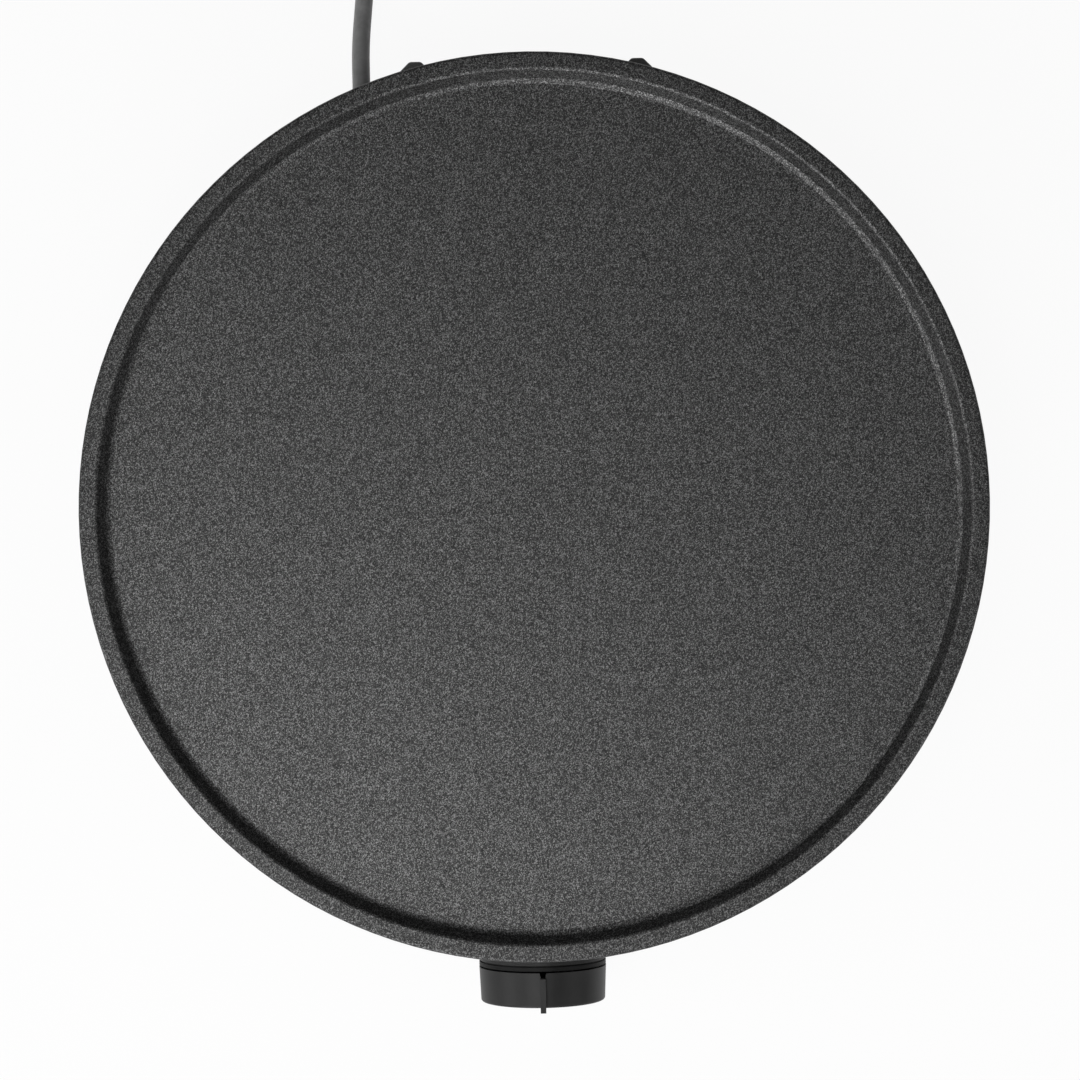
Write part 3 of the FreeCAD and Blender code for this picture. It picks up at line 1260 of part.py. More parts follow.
def make_plug(along):
    """The moulded plug with round pins and side earth clips, lying on the table."""
    plug = new_body("plug_body")
    neck = "plug_boot_length"
    shoulder = "(plug_boot_length+plug_shoulder)"
    end = "(plug_boot_length+plug_shoulder+plug_head)"
    profile = [("0", "0"), ("plug_boot", "0"), ("plug_neck", neck)]
    profile += [("(plug_neck+plug_radius)/2+1", f"{neck}+plug_shoulder/3")]
    profile += [("plug_radius", shoulder), ("plug_radius", end), ("0", end)]
    turned(plug, outline(sketch(plug, "XZ"), profile))
    soften(plug, "Fillet", "plug_fillet", [on_ring("plug_radius", end)])
    sockets = sketch(plug, "XY", f"{end}+1")
    for side in ("-", ""):
        circle(sockets, "0", f"{side}pin_spacing/2", "pin_radius+thread_clearance")
    cut(plug, sockets, "pin_set+1.2")
    deep = "plug_radius-earth_slot_depth"
    for sign in ("-", ""):
        slot = sketch(plug, "XY", f"{end}+1")
        far = f"{sign}(plug_radius+1)"
        box_outline(slot, f"{sign}({deep})", far, "-earth_slot_width/2", "earth_slot_width/2")
        cut(plug, slot, "earth_slot_length+1")
    up = f"-{table_drop}+plug_radius"
    keep(place(plug, "plug_start", f"{along}", up, V(0, 1, 0), 90))
    pins = []
    for side in ("-", ""):
        pin = rod(f"pin{side}", f"{end}-pin_set", f"{end}+pin_length", "pin_radius")
        soften(pin, "Chamfer", "pin_radius/3", [on_ring("pin_radius", f"{end}+pin_length")])
        across = f"{along}{side or '+'}pin_spacing/2"
        pins.append(place(pin, "plug_start", across, up, V(0, 1, 0), 90))
    group("plug_pins", pins)
    clips = []
    for sign in ("-", ""):
        clip = new_body(f"clip{sign}")
        strip = sketch(clip, "XY", f"{end}-earth_slot_length")
        inner = f"{sign}({deep})"
        outer = f"{sign}({deep}+earth_clip_thickness)"
        box_outline(strip, inner, outer, "-earth_clip_width/2", "earth_clip_width/2")
        pad(clip, strip, "earth_slot_length")
        clips.append(place(clip, "plug_start", f"{along}", up, V(0, 1, 0), 90))
    group("plug_earth_clips", clips)


def check_document():
    """Stop if a feature failed, a cut removed nothing or a node is not a sound solid."""
    for item in doc.Objects:
        if {"Invalid", "Error"} & set(item.State):
            raise RuntimeError(f"{item.Label} failed: {item.State}")
        if item.TypeId in ("PartDesign::Pocket", "PartDesign::Groove"):
            if item.Shape.Volume > item.BaseFeature.Shape.Volume - 0.01:
                raise RuntimeError(f"{item.Name} cuts nothing")
    for piece in nodes:
        if piece.Shape.isNull() or not piece.Shape.isValid() or not piece.Shape.Solids:
            raise RuntimeError(f"{piece.Label} is not a sound solid")


make_griddle_plate()
left_end, right_end = make_heating_element()
make_heat_reflector()
make_base_fixings()
make_base_housing()
make_feet()
make_knob()
make_thermostat()
make_plate_fittings()
make_fuse()
make_terminal_block()
make_cord_clamp()
make_wiring(left_end, right_end)
make_strain_relief()
make_cleats()
make_plug(make_cord())
doc.recompute()
check_document()

os.makedirs("parts", exist_ok=True)
for piece in nodes:
    piece.Shape.exportStep(os.path.join("parts", f"{piece.Label}.step"))
print(f"{len(nodes)} nodes written")
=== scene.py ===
import math

import bmesh
import bpy
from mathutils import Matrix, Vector


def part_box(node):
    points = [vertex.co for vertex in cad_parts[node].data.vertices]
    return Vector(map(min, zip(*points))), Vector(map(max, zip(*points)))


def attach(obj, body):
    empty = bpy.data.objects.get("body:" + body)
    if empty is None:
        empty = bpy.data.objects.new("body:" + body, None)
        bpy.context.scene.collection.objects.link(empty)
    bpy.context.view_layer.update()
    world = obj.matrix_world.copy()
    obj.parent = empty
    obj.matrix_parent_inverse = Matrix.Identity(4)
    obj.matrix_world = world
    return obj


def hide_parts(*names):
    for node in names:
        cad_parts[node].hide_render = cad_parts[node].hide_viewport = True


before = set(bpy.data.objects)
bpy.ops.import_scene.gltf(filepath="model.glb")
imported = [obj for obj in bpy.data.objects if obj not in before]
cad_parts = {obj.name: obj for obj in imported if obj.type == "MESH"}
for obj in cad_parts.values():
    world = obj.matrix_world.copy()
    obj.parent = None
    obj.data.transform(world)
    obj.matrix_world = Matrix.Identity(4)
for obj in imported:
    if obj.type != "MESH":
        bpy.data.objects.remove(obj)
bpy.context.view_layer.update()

# Colours are shown as they are written.
bpy.context.scene.view_settings.view_transform = "Standard"

# The griddle plate: one aluminium casting, turned on its rim, then sprayed with a dark
# non-stick coat full of fine metal flakes. Painted shade darkens its colour on the steep
# inner wall of the rim, and the flange outside the rim is painted a little darker.


def surface(name, colour, roughness, metal=0.0, shine=0.5):
    """A finish with its plain values on the shader itself."""
    finish = bpy.data.materials.new(name)
    finish.use_nodes = True
    shader = finish.node_tree.nodes["Principled BSDF"]
    shader.inputs["Base Color"].default_value = (*colour, 1)
    shader.inputs["Roughness"].default_value = roughness
    shader.inputs["Metallic"].default_value = metal
    shader.inputs["Specular IOR Level"].default_value = shine
    return finish


def node(finish, kind, **values):
    """One more node of a finish, its inputs set by name."""
    made = finish.node_tree.nodes.new(f"ShaderNode{kind}")
    for name, value in values.items():
        made.inputs[name.replace("_", " ")].default_value = value
    return made


def wire(finish, start, end):
    """Join an output to an input."""
    finish.node_tree.links.new(start, end)


def shades(finish, factor, stops, socket="Base Color"):
    """Turn a factor into colours, or into greys for a plain socket, and wire them to it."""
    ramp = node(finish, "ValToRGB")
    band = ramp.color_ramp
    while len(band.elements) < len(stops):
        band.elements.new(0.5)
    for element, (spot, colour) in zip(band.elements, stops):
        element.position = spot
        element.color = (*colour, 1)
    wire(finish, factor, ramp.inputs["Fac"])
    shader = finish.node_tree.nodes["Principled BSDF"]
    if socket:
        wire(finish, ramp.outputs["Color"], shader.inputs[socket])
    return ramp.outputs["Color"]


def relief(finish, height, depth, strength=1.0):
    """Raise the surface where height is high, by depth in metres."""
    bump = node(finish, "Bump", Strength=strength, Distance=depth)
    shader = finish.node_tree.nodes["Principled BSDF"]
    wire(finish, height, bump.inputs["Height"])
    wire(finish, bump.outputs["Normal"], shader.inputs["Normal"])


def grey(value):
    """An even grey."""
    return (value, value, value)


def dress(finish, *names):
    """Give carried-over pieces their finish."""
    for name in names:
        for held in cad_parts[name].material_slots:
            held.material = finish


FLAKE_SIZE = 0.0003
FLAKE_DEPTH = 0.00005
STEEP_UNDER = 0.2
LEVEL_OVER = 0.75
STEEP_SHADE_SHARE = 0.1
FLANGE_START = 0.1555
FLANGE_BLEND = 0.0005
FLANGE_SHARE = 0.82

coating = surface("flaked_nonstick", grey(0.06), roughness=0.46, metal=0.72)
spray = node(coating, "TexCoord")
cells = node(coating, "TexVoronoi", Scale=1 / FLAKE_SIZE)
wire(coating, spray.outputs["Object"], cells.inputs["Vector"])
flakes = cells.outputs["Color"]
flake_greys = ((0.1, grey(0.008)), (0.55, grey(0.05)), (0.92, grey(0.25)))
sprayed = shades(coating, flakes, flake_greys, socket=None)

# Painted shade: the colour is darkened where the surface turns steep, on the rim's inner wall.
facing_up = node(coating, "SeparateXYZ")
painted_wall_shade = node(coating, "MapRange", From_Min=STEEP_UNDER, From_Max=LEVEL_OVER, To_Min=STEEP_SHADE_SHARE)
wire(coating, spray.outputs["Normal"], facing_up.inputs[0])
wire(coating, facing_up.outputs["Z"], painted_wall_shade.inputs["Value"])

# The flange outside the rim is painted a little darker.
from_middle = node(coating, "VectorMath")
from_middle.operation = "LENGTH"
flange = node(coating, "MapRange", From_Min=FLANGE_START - FLANGE_BLEND,
              From_Max=FLANGE_START + FLANGE_BLEND, To_Min=1.0, To_Max=FLANGE_SHARE)
wire(coating, spray.outputs["Object"], from_middle.inputs[0])
wire(coating, from_middle.outputs["Value"], flange.inputs["Value"])

wall_shade_and_flange_share = node(coating, "Math")
wall_shade_and_flange_share.operation = "MULTIPLY"
wire(coating, painted_wall_shade.outputs["Result"], wall_shade_and_flange_share.inputs[0])
wire(coating, flange.outputs["Result"], wall_shade_and_flange_share.inputs[1])
shaded_flake_colour = node(coating, "VectorMath")
shaded_flake_colour.operation = "SCALE"
wire(coating, sprayed, shaded_flake_colour.inputs[0])
wire(coating, wall_shade_and_flange_share.outputs["Value"], shaded_flake_colour.inputs["Scale"])
coat_shader = coating.node_tree.nodes["Principled BSDF"]
wire(coating, shaded_flake_colour.outputs["Vector"], coat_shader.inputs["Base Color"])
relief(coating, flakes, depth=FLAKE_DEPTH, strength=0.5)
dress(coating, "griddle_plate")

# The heating element: a steel tube packed with insulating powder round its coiled wire,
# bent to a ring and pressed into the channel under the plate, with a fired clay seal and
# a nickel plated terminal at each end.


def grain(finish, size, detail=2.0, stretch=(1, 1, 1)):
    """A soft mottle in the piece's own metres, its grains about as large as size."""
    place = node(finish, "TexCoord")
    scaled = node(finish, "Mapping", Scale=stretch)
    mottle = node(finish, "TexNoise", Scale=1 / size, Detail=detail, Roughness=0.6)
    wire(finish, place.outputs["Object"], scaled.inputs["Vector"])
    wire(finish, scaled.outputs["Vector"], mottle.inputs["Vector"])
    return mottle.outputs["Fac"]


element_steel = surface("oxidised_steel", (0.16, 0.145, 0.13), roughness=0.42, metal=1.0)
shades(element_steel, grain(element_steel, size=0.012, detail=4), (
    (0.3, (0.09, 0.08, 0.075)), (0.6, (0.24, 0.21, 0.18)),
))
fired_clay = surface("fired_clay", (0.72, 0.68, 0.6), roughness=0.75)
relief(fired_clay, grain(fired_clay, size=0.0006), depth=0.00008)
shades(fired_clay, grain(fired_clay, size=0.004), (
    (0.3, (0.62, 0.58, 0.5)), (0.7, (0.78, 0.75, 0.68)),
))
nickel = surface("nickel_plate", (0.66, 0.64, 0.6), roughness=0.24, metal=1.0)
relief(nickel, grain(nickel, size=0.0012, detail=3), depth=0.00001, strength=0.3)
shades(nickel, grain(nickel, size=0.006), ((0.3, (0.56, 0.54, 0.5)), (0.7, (0.72, 0.7, 0.66))))
dress(element_steel, "heating_element")
dress(fired_clay, "element_seals")
dress(nickel, "element_terminals")

# The sheet parts: a pressed aluminium disc that keeps the heat up, the thermostat's
# bracket and the fuse's clip, all of rolled sheet with its faint rolling lines.
rolled_sheet = surface("rolled_aluminium", grey(0.62), roughness=0.3, metal=1.0)
rolling = grain(rolled_sheet, size=0.004, detail=3, stretch=(1, 14, 1))
shades(rolled_sheet, rolling, ((0.3, grey(0.52)), (0.7, grey(0.7))))
relief(rolled_sheet, rolling, depth=0.00004)
dress(rolled_sheet, "heat_reflector", "thermostat_bracket", "fuse_clip")

# The screws, the spindle and the rivet: turned or headed from zinc plated steel. The
# washers under the plate are punched from mica board.
zinc = surface("zinc_plate", (0.56, 0.56, 0.58), roughness=0.33, metal=1.0)
turning = grain(zinc, size=0.0008, detail=2, stretch=(1, 1, 6))
shades(zinc, turning, ((0.3, (0.46, 0.47, 0.5)), (0.7, (0.66, 0.65, 0.62))))
relief(zinc, turning, depth=0.00002)
dress(zinc, "base_screws", "thermostat_spindle", "stack_rivet", "plate_screws",
      "block_screws", "clamp_screws", "cleat_screws")
mica_board = surface("mica_board", (0.5, 0.42, 0.3), roughness=0.6)
shades(mica_board, grain(mica_board, size=0.0015, detail=4), (
    (0.35, (0.36, 0.29, 0.2)), (0.65, (0.62, 0.54, 0.4)),
))
dress(mica_board, "insulating_washers")

# The base: one black moulding with a fine sparked texture, a clamp bar of the same
# plastic inside, and two cord cleats of a greyer one, each held by a screw from inside.
moulded = surface("sparked_black_plastic", grey(0.013), roughness=0.5, shine=0.25)
spark = grain(moulded, size=0.0005, detail=2)
shades(moulded, spark, ((0.3, grey(0.008)), (0.7, grey(0.02))))
shades(moulded, grain(moulded, size=0.03, detail=3), ((0.3, grey(0.42)), (0.7, grey(0.54))),
       socket="Roughness")
relief(moulded, spark, depth=0.00008, strength=0.7)
dress(moulded, "base_housing", "cord_clamp")
greyed = surface("grey_cleat_plastic", grey(0.09), roughness=0.5)
speck = grain(greyed, size=0.0006, detail=2)
shades(greyed, speck, ((0.3, grey(0.075)), (0.7, grey(0.115))))
relief(greyed, speck, depth=0.00006, strength=0.6)
dress(greyed, "cord_cleat_left", "cord_cleat_right")

# The four feet: soft black rubber mouldings, each with a stem that is pushed through the
# floor of the base and a bulb that holds it there.
foot_rubber = surface("foot_rubber", grey(0.03), roughness=0.8)
shades(foot_rubber, grain(foot_rubber, size=0.0015, detail=3), ((0.3, grey(0.02)), (0.7, grey(0.045))))
relief(foot_rubber, grain(foot_rubber, size=0.0004), depth=0.00006)
dress(foot_rubber, "foot_front_left", "foot_front_right", "foot_rear_left", "foot_rear_right")

# The knob and the dial ring behind it: a satin black moulding with a pointer rib, in
# front of a flat ring of dull black plastic, its colour painted darker than the knob's as
# painted shade under the plate's flange.
satin = surface("satin_black_plastic", grey(0.010), roughness=0.46, shine=0.3)
fine = grain(satin, size=0.0003, detail=2)
shades(satin, grain(satin, size=0.01, detail=4), ((0.3, grey(0.007)), (0.7, grey(0.013))))
relief(satin, fine, depth=0.00004, strength=0.5)
dress(satin, "control_knob")
# The ring's black is painted darker than the knob's: painted shade under the flange.
shaded_dull_plastic = surface("shade_darkened_black_plastic", grey(0.006), roughness=0.55, shine=0.15)
shades(shaded_dull_plastic, grain(shaded_dull_plastic, size=0.002, detail=3), ((0.3, grey(0.004)), (0.7, grey(0.009))))
relief(shaded_dull_plastic, grain(shaded_dull_plastic, size=0.0003), depth=0.00003)
dress(shaded_dull_plastic, "dial_ring")

# The thermostat: spring brass strips and a bimetal strip, riveted in a stack between
# spacers of fired clay, a pin of the same clay that moves one strip, and a turned brass
# bush for the spindle. The earth tab is brass too.
brass = surface("spring_brass", (0.6, 0.44, 0.2), roughness=0.3, metal=1.0)
drawn = grain(brass, size=0.002, detail=3, stretch=(1, 8, 1))
shades(brass, drawn, ((0.3, (0.5, 0.36, 0.16)), (0.7, (0.68, 0.52, 0.26))))
relief(brass, drawn, depth=0.00003)
dress(brass, "spindle_bush", "moving_contact_root", "moving_contact_arm",
      "fixed_contact_blade", "earth_tab")
bimetal = surface("bimetal", (0.45, 0.42, 0.38), roughness=0.38, metal=1.0)
shades(bimetal, grain(bimetal, size=0.003, detail=3, stretch=(1, 6, 1)), (
    (0.3, (0.36, 0.33, 0.3)), (0.7, (0.54, 0.5, 0.46)),
))
dress(bimetal, "bimetal_blade")
dress(fired_clay, "ceramic_spacers", "adjuster_pin")

# The wiring inside: a terminal block of glazed porcelain, leads of copper strand in
# silicone sleeve between it, the thermostat, the fuse, the element and the earth tab,
# and the fuse in its nickel plated case.
porcelain = surface("porcelain", (0.78, 0.77, 0.73), roughness=0.18)
shades(porcelain, grain(porcelain, size=0.006, detail=3), (
    (0.3, (0.7, 0.69, 0.64)), (0.7, (0.82, 0.81, 0.78)),
))
dress(porcelain, "terminal_block")
sleeve = surface("silicone_sleeve", (0.66, 0.63, 0.56), roughness=0.6)
shades(sleeve, grain(sleeve, size=0.0015, detail=3), (
    (0.3, (0.55, 0.52, 0.45)), (0.7, (0.72, 0.7, 0.64)),
))
relief(sleeve, grain(sleeve, size=0.0005), depth=0.00004)
dress(sleeve, "cord_cores", "live_lead", "neutral_lead", "fused_lead", "switched_lead",
      "earth_lead")
dress(nickel, "thermal_fuse")

# The strain relief: a soft rubber boot with a spigot and a collar that hold it in the
# base's gland, and a tapered tail cut by grooves so that it bends with the cord.
BOOT_SIDES = 72
COLLAR_RADIUS = 0.0075
COLLAR_THICKNESS = 0.0015
SPIGOT_RADIUS = 0.0049
SPIGOT_LENGTH = 0.012
TAIL_ROOT = 0.0053
TAIL_TIP = 0.0045
GROOVES = 7
GROOVE_DEPTH = 0.0008
BORE_RADIUS = 0.00335
SOFT_EDGE = 0.0003
SHARP_ANGLE = 40

boot_low, boot_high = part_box("strain_relief")
cord_x = (boot_low[0] + boot_high[0]) / 2
cord_z = (boot_low[2] + boot_high[2]) / 2
collar_at = boot_low[1] + SPIGOT_LENGTH
tail_at = collar_at + COLLAR_THICKNESS
tail_length = boot_high[1] - tail_at


def turned_shell(name, profile, sides, place):
    """A closed shell turned from a profile of ways along and radii, set by place."""
    mesh = bmesh.new()
    spots = [2 * math.pi * side / sides for side in range(sides)]
    rings = []
    for along, radius in profile:
        rings.append([mesh.verts.new(place(along, radius, spot)) for spot in spots])
    for near, far in zip(rings, rings[1:] + rings[:1]):
        for side in range(sides):
            after = (side + 1) % sides
            mesh.faces.new((near[side], near[after], far[after], far[side]))
    bmesh.ops.recalc_face_normals(mesh, faces=mesh.faces)
    shell = bpy.data.meshes.new(name)
    mesh.to_mesh(shell)
    mesh.free()
    shell.shade_smooth()
    shell.set_sharp_from_angle(angle=math.radians(SHARP_ANGLE))
    piece = bpy.data.objects.new(name, shell)
    bpy.context.collection.objects.link(piece)
    return piece


def along_cord_exit(along, radius, turn):
    """A place round the line that the cord leaves the base on."""
    return (cord_x + radius * math.cos(turn), along, cord_z + radius * math.sin(turn))


boot_profile = [
    (boot_low[1], BORE_RADIUS), (boot_low[1], SPIGOT_RADIUS), (collar_at, SPIGOT_RADIUS),
    (collar_at, COLLAR_RADIUS), (tail_at - SOFT_EDGE, COLLAR_RADIUS),
    (tail_at, COLLAR_RADIUS - SOFT_EDGE), (tail_at, TAIL_ROOT),
]
step = tail_length / (GROOVES + 1)
for index in range(GROOVES):
    middle = tail_at + step * (index + 1)
    edge = TAIL_ROOT + (TAIL_TIP - TAIL_ROOT) * (index + 1) / (GROOVES + 1)
    floor_of_groove = edge - GROOVE_DEPTH
    for share, radius in ((-0.30, edge), (-0.22, edge - SOFT_EDGE), (-0.16, floor_of_groove),
                          (0.16, floor_of_groove), (0.22, edge - SOFT_EDGE), (0.30, edge)):
        boot_profile.append((middle + step * share, radius))
boot_profile += [
    (boot_high[1] - SOFT_EDGE, TAIL_TIP), (boot_high[1], TAIL_TIP - SOFT_EDGE),
    (boot_high[1], BORE_RADIUS),
]
boot = turned_shell("strain_relief_boot", boot_profile, BOOT_SIDES, along_cord_exit)
boot_rubber = surface("boot_rubber", grey(0.05), roughness=0.6)
shades(boot_rubber, grain(boot_rubber, size=0.002, detail=4), ((0.3, grey(0.04)), (0.7, grey(0.07))))
relief(boot_rubber, grain(boot_rubber, size=0.0004), depth=0.00004)
boot.data.materials.append(boot_rubber)
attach(boot, "root")
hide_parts("strain_relief")

# The plug: one rubber moulding over its nickel plated pins, with a rippled neck round the
# cord, ribs round its sides to grip it by, and a slot above and below for an earth clip.
PLUG_SIDES = 96
PLUG_RADIUS = 0.019
BOOT_END_RADIUS = 0.0046
NECK_RADIUS = 0.006
NECK_LENGTH = 0.020
NECK_LIP_SHARE = 0.03
NECK_RIBS = 6
POINTS_IN_RIB = 8
SHOULDER_LENGTH = 0.018
SHOULDER_STEPS = 14
SIDE_RIBS = 5
SIDE_RIB_PITCH = 0.0024
RIB_HEIGHT = 0.0006
FACE_ROUND = 0.002
FACE_ROUND_STEPS = 6
PLUG_BORE = 0.0016
SLOT_WIDTH = 0.008
SLOT_DEPTH = 0.0022
SLOT_LENGTH = 0.018

plug_low, plug_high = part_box("plug_body")
plug_axis = (plug_low[2] + plug_high[2]) / 2
plug_y = (plug_low[1] + plug_high[1]) / 2


def along_plug(along, radius, turn):
    """A place round the plug's own axis."""
    return (along, plug_y + radius * math.cos(turn), plug_axis + radius * math.sin(turn))


plug_profile = [(plug_low[0], PLUG_BORE), (plug_low[0], BOOT_END_RADIUS - SOFT_EDGE)]
for index in range(NECK_RIBS * POINTS_IN_RIB + 1):
    share = index / (NECK_RIBS * POINTS_IN_RIB)
    taper = BOOT_END_RADIUS + (NECK_RADIUS - BOOT_END_RADIUS) * share
    ripple = RIB_HEIGHT * (math.cos(2 * math.pi * NECK_RIBS * share) - 1) / 2
    up_neck = NECK_LENGTH * (NECK_LIP_SHARE + (1 - NECK_LIP_SHARE) * share)
    plug_profile.append((plug_low[0] + up_neck, taper + ripple))
shoulder_at = plug_low[0] + NECK_LENGTH
flank_at = shoulder_at + SHOULDER_LENGTH
for index in range(1, SHOULDER_STEPS + 1):
    share = index / SHOULDER_STEPS
    swell = share * share * (3 - 2 * share)
    plug_profile.append((shoulder_at + SHOULDER_LENGTH * share,
                         NECK_RADIUS + (PLUG_RADIUS - NECK_RADIUS) * swell))
for index in range(SIDE_RIBS):
    middle = flank_at + SIDE_RIB_PITCH * (index + 0.8)
    for share, drop in ((-0.3, 0), (-0.15, RIB_HEIGHT), (0.15, RIB_HEIGHT), (0.3, 0)):
        plug_profile.append((middle + SIDE_RIB_PITCH * share, PLUG_RADIUS - drop))
for index in range(FACE_ROUND_STEPS + 1):
    turn = math.pi / 2 * index / FACE_ROUND_STEPS
    plug_profile.append((plug_high[0] - FACE_ROUND * (1 - math.sin(turn)),
                         PLUG_RADIUS - FACE_ROUND * (1 - math.cos(turn))))
plug_profile.append((plug_high[0], PLUG_BORE))
plug = turned_shell("plug_moulding", plug_profile, PLUG_SIDES, along_plug)

for sign in (-1, 1):
    cutter_mesh = bmesh.new()
    bmesh.ops.create_cube(cutter_mesh, size=1)
    for corner in cutter_mesh.verts:
        back = (0.5 - corner.co.x) * SLOT_LENGTH
        past_face = (0.5 + corner.co.x) * SOFT_EDGE
        corner.co.x = plug_high[0] - back + past_face
        corner.co.y = plug_y + corner.co.y * SLOT_WIDTH
        corner.co.z = plug_axis + sign * (PLUG_RADIUS + corner.co.z * 2 * SLOT_DEPTH)
    cutter_data = bpy.data.meshes.new("slot_cutter")
    cutter_mesh.to_mesh(cutter_data)
    cutter_mesh.free()
    cutter = bpy.data.objects.new("slot_cutter", cutter_data)
    bpy.context.collection.objects.link(cutter)
    carve = plug.modifiers.new("slot", "BOOLEAN")
    carve.operation = "DIFFERENCE"
    carve.object = cutter
    carved = bpy.data.meshes.new_from_object(
        plug.evaluated_get(bpy.context.evaluated_depsgraph_get()))
    plug.modifiers.clear()
    plug.data = carved
    bpy.data.objects.remove(cutter)
plug_rubber = surface("plug_rubber", grey(0.04), roughness=0.6)
shades(plug_rubber, grain(plug_rubber, size=0.003, detail=4), ((0.3, grey(0.028)), (0.7, grey(0.055))))
relief(plug_rubber, grain(plug_rubber, size=0.0005), depth=0.00005)
plug.data.materials.clear()
plug.data.materials.append(plug_rubber)
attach(plug, "root")
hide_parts("plug_body")
dress(nickel, "plug_pins", "plug_earth_clips")

# The free cord: a round rubber sheathed lead. It runs straight out of its boot and drops
# to the table behind the maker. The rest of it is wound in a neat coil, which spirals in,
# climbs a layer in half a turn and spirals out again towards the plug.
CORD_DIAMETER = 0.0066
COIL_GAP = 0.0007
COIL_CENTRE = (-0.014, 0.240)
COIL_RADIUS = 0.044
TURNS_IN = 2.25
TURNS_OUT = 2.0
POINTS_IN_TURN = 16
CORD_FLOOR = -0.0597
STEPS_IN_SPAN = 8
ROUND_STEPS = 6

cord_exit = (cord_x, boot_high[1], cord_z)
cord_points = [
    cord_exit,
    (cord_x, 0.156, cord_z),
    (-0.0611, 0.171, -0.0506),
    (-0.060, 0.187, -0.0572),
    (-0.0586, 0.203, CORD_FLOOR),
    (-0.058, 0.2185, CORD_FLOOR),
]
pitch = CORD_DIAMETER + COIL_GAP
turns = TURNS_IN + TURNS_OUT
for index in range(round(turns * POINTS_IN_TURN) + 1):
    turn = index / POINTS_IN_TURN
    radius = COIL_RADIUS - pitch * TURNS_IN + pitch * abs(turn - TURNS_IN)
    climb = min(max((turn - TURNS_IN) * 2 + 0.5, 0), 1)
    rise = pitch * climb * climb * (3 - 2 * climb)
    angle = math.pi - 2 * math.pi * turn
    across = COIL_CENTRE[0] + radius * math.cos(angle)
    cord_points.append((across, COIL_CENTRE[1] + radius * math.sin(angle), CORD_FLOOR + rise))
coil_end = cord_points[-1]
cord_points += [
    (0.005, coil_end[1], coil_end[2]),
    (0.0195, coil_end[1] + 0.0004, -0.054),
    (0.0345, coil_end[1] + 0.0006, -0.0534),
    (0.0495, coil_end[1] + 0.0004, -0.0496),
    (0.0645, coil_end[1], plug_axis),
    (plug_low[0], coil_end[1], plug_axis),
]
route = bpy.data.curves.new("mains_cord", "CURVE")
route.dimensions = "3D"
spline = route.splines.new("NURBS")
spline.points.add(len(cord_points) - 1)
for knot, place in zip(spline.points, cord_points):
    knot.co = (*place, 1)
spline.order_u = 3
spline.use_endpoint_u = True
route.resolution_u = STEPS_IN_SPAN
route.bevel_depth = CORD_DIAMETER / 2
route.bevel_resolution = ROUND_STEPS
route.use_fill_caps = True
cord = bpy.data.objects.new("mains_cord", route)
bpy.context.collection.objects.link(cord)
sheath = surface("cord_sheath", grey(0.2), roughness=0.5)
shades(sheath, grain(sheath, size=0.004, detail=4), ((0.3, grey(0.19)), (0.7, grey(0.26))))
relief(sheath, grain(sheath, size=0.0005), depth=0.00004, strength=0.6)
route.materials.append(sheath)
dress(sheath, "cord_inner_end")
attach(cord, "root")
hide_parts("power_cord", "cord_coil", "cord_tail")

# The table and the studio: a pale floor that is nearly white to the camera and in shiny
# parts but keeps a soft shadow, one lamp high up, one low in front and one on each side.
FLOOR_LEVEL = -0.063
FLOOR_REACH = 6.0
WHITE_SHARE = 0.93

floor_mesh = bpy.data.meshes.new("table_top")
corners = [(-FLOOR_REACH, -FLOOR_REACH), (FLOOR_REACH, -FLOOR_REACH),
           (FLOOR_REACH, FLOOR_REACH), (-FLOOR_REACH, FLOOR_REACH)]
floor_mesh.from_pydata([(x, y, FLOOR_LEVEL) for x, y in corners], [], [(0, 1, 2, 3)])
floor = bpy.data.objects.new("table_top", floor_mesh)
bpy.context.collection.objects.link(floor)
pale = surface("pale_table", grey(0.8), roughness=0.7)
glow = node(pale, "Emission", Color=(1, 1, 1, 1), Strength=1.0)
ray = node(pale, "LightPath")
seen_or_mirrored = node(pale, "Math")
seen_or_mirrored.operation = "MAXIMUM"
or_seen_through = node(pale, "Math")
or_seen_through.operation = "MAXIMUM"
whiteness = node(pale, "Math")
whiteness.operation = "MULTIPLY"
whiteness.inputs[1].default_value = WHITE_SHARE
mixed = node(pale, "MixShader")
wire(pale, ray.outputs["Is Camera Ray"], seen_or_mirrored.inputs[0])
wire(pale, ray.outputs["Is Glossy Ray"], seen_or_mirrored.inputs[1])
wire(pale, seen_or_mirrored.outputs["Value"], or_seen_through.inputs[0])
wire(pale, ray.outputs["Is Transmission Ray"], or_seen_through.inputs[1])
wire(pale, or_seen_through.outputs["Value"], whiteness.inputs[0])
wire(pale, whiteness.outputs["Value"], mixed.inputs["Fac"])
wire(pale, pale.node_tree.nodes["Principled BSDF"].outputs["BSDF"], mixed.inputs[1])
wire(pale, glow.outputs["Emission"], mixed.inputs[2])
wire(pale, mixed.outputs["Shader"], pale.node_tree.nodes["Material Output"].inputs["Surface"])
floor_mesh.materials.append(pale)


def lamp(name, place, size, power):
    """A square soft lamp aimed at the middle of the plate."""
    light = bpy.data.lights.new(name, "AREA")
    light.shape = "SQUARE"
    light.size = size
    light.energy = power
    holder = bpy.data.objects.new(name, light)
    bpy.context.collection.objects.link(holder)
    holder.location = place
    aim = -Vector(place)
    holder.rotation_euler = aim.to_track_quat("-Z", "Y").to_euler()


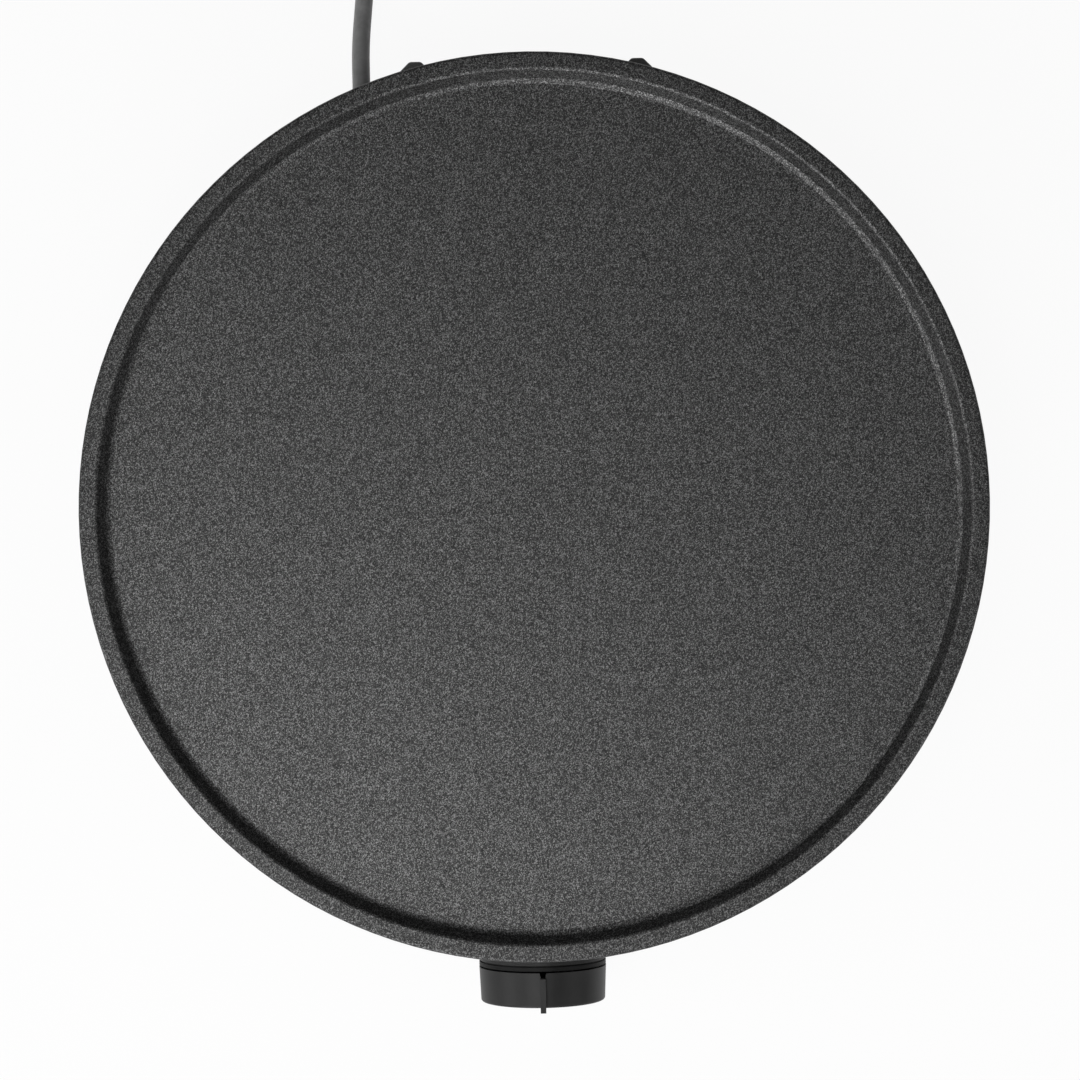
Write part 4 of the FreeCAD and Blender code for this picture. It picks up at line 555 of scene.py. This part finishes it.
lamp("overhead_lamp", (-0.3, -0.42, 1.35), size=0.7, power=7)
lamp("front_lamp", (-0.25, -1.3, 0.62), size=0.6, power=9)
lamp("left_lamp", (-1.2, -0.4, 0.6), size=0.8, power=6)
lamp("right_lamp", (1.0, -0.7, 0.55), size=0.5, power=2.5)

# The room round the table: plain white to the camera, and to the maker a dim light that
# is strongest from the front left and above.
SKY_BRIGHT_SIDE = (-0.33, -0.62, 0.71)
SKY_DIM = 0.04
SKY_BRIGHT = 0.27

world = bpy.data.worlds.new("studio")
bpy.context.scene.world = world
world.use_nodes = True
sky = world.node_tree
backdrop = sky.nodes["Background"]
way = sky.nodes.new("ShaderNodeTexCoord")
facing = sky.nodes.new("ShaderNodeVectorMath")
facing.operation = "DOT_PRODUCT"
facing.inputs[1].default_value = SKY_BRIGHT_SIDE
sky.links.new(way.outputs["Generated"], facing.inputs[0])
spread = sky.nodes.new("ShaderNodeMapRange")
spread.inputs["From Min"].default_value = -1
spread.inputs["To Min"].default_value = SKY_DIM
spread.inputs["To Max"].default_value = SKY_BRIGHT
sky.links.new(facing.outputs["Value"], spread.inputs["Value"])
seen_by = sky.nodes.new("ShaderNodeLightPath")
brightest = sky.nodes.new("ShaderNodeMath")
brightest.operation = "MAXIMUM"
sky.links.new(seen_by.outputs["Is Camera Ray"], brightest.inputs[0])
sky.links.new(spread.outputs["Result"], brightest.inputs[1])
sky.links.new(brightest.outputs["Value"], backdrop.inputs["Strength"])
backdrop.inputs["Color"].default_value = (1, 1, 1, 1)

# The camera: straight above the middle of the plate, rolled a little, and shifted so that
# the plate lies a little to the left of the picture's middle and above it.
CAMERA_HEIGHT = 1.185
PICTURE_SIDE = 1080
PIXELS_LEFT = 5.7
PIXELS_UP = 33.0
ROLL = -1.05
SENSOR_WIDTH = 36
LENS = 111.46

camera = bpy.data.objects.new("camera", bpy.data.cameras.new("camera"))
bpy.context.collection.objects.link(camera)
camera.location = (0, 0, CAMERA_HEIGHT)
camera.rotation_euler = (0, 0, math.radians(ROLL))
camera.data.sensor_width = SENSOR_WIDTH
camera.data.lens = LENS
camera.data.shift_x = PIXELS_LEFT / PICTURE_SIDE
camera.data.shift_y = -PIXELS_UP / PICTURE_SIDE
bpy.context.scene.camera = camera
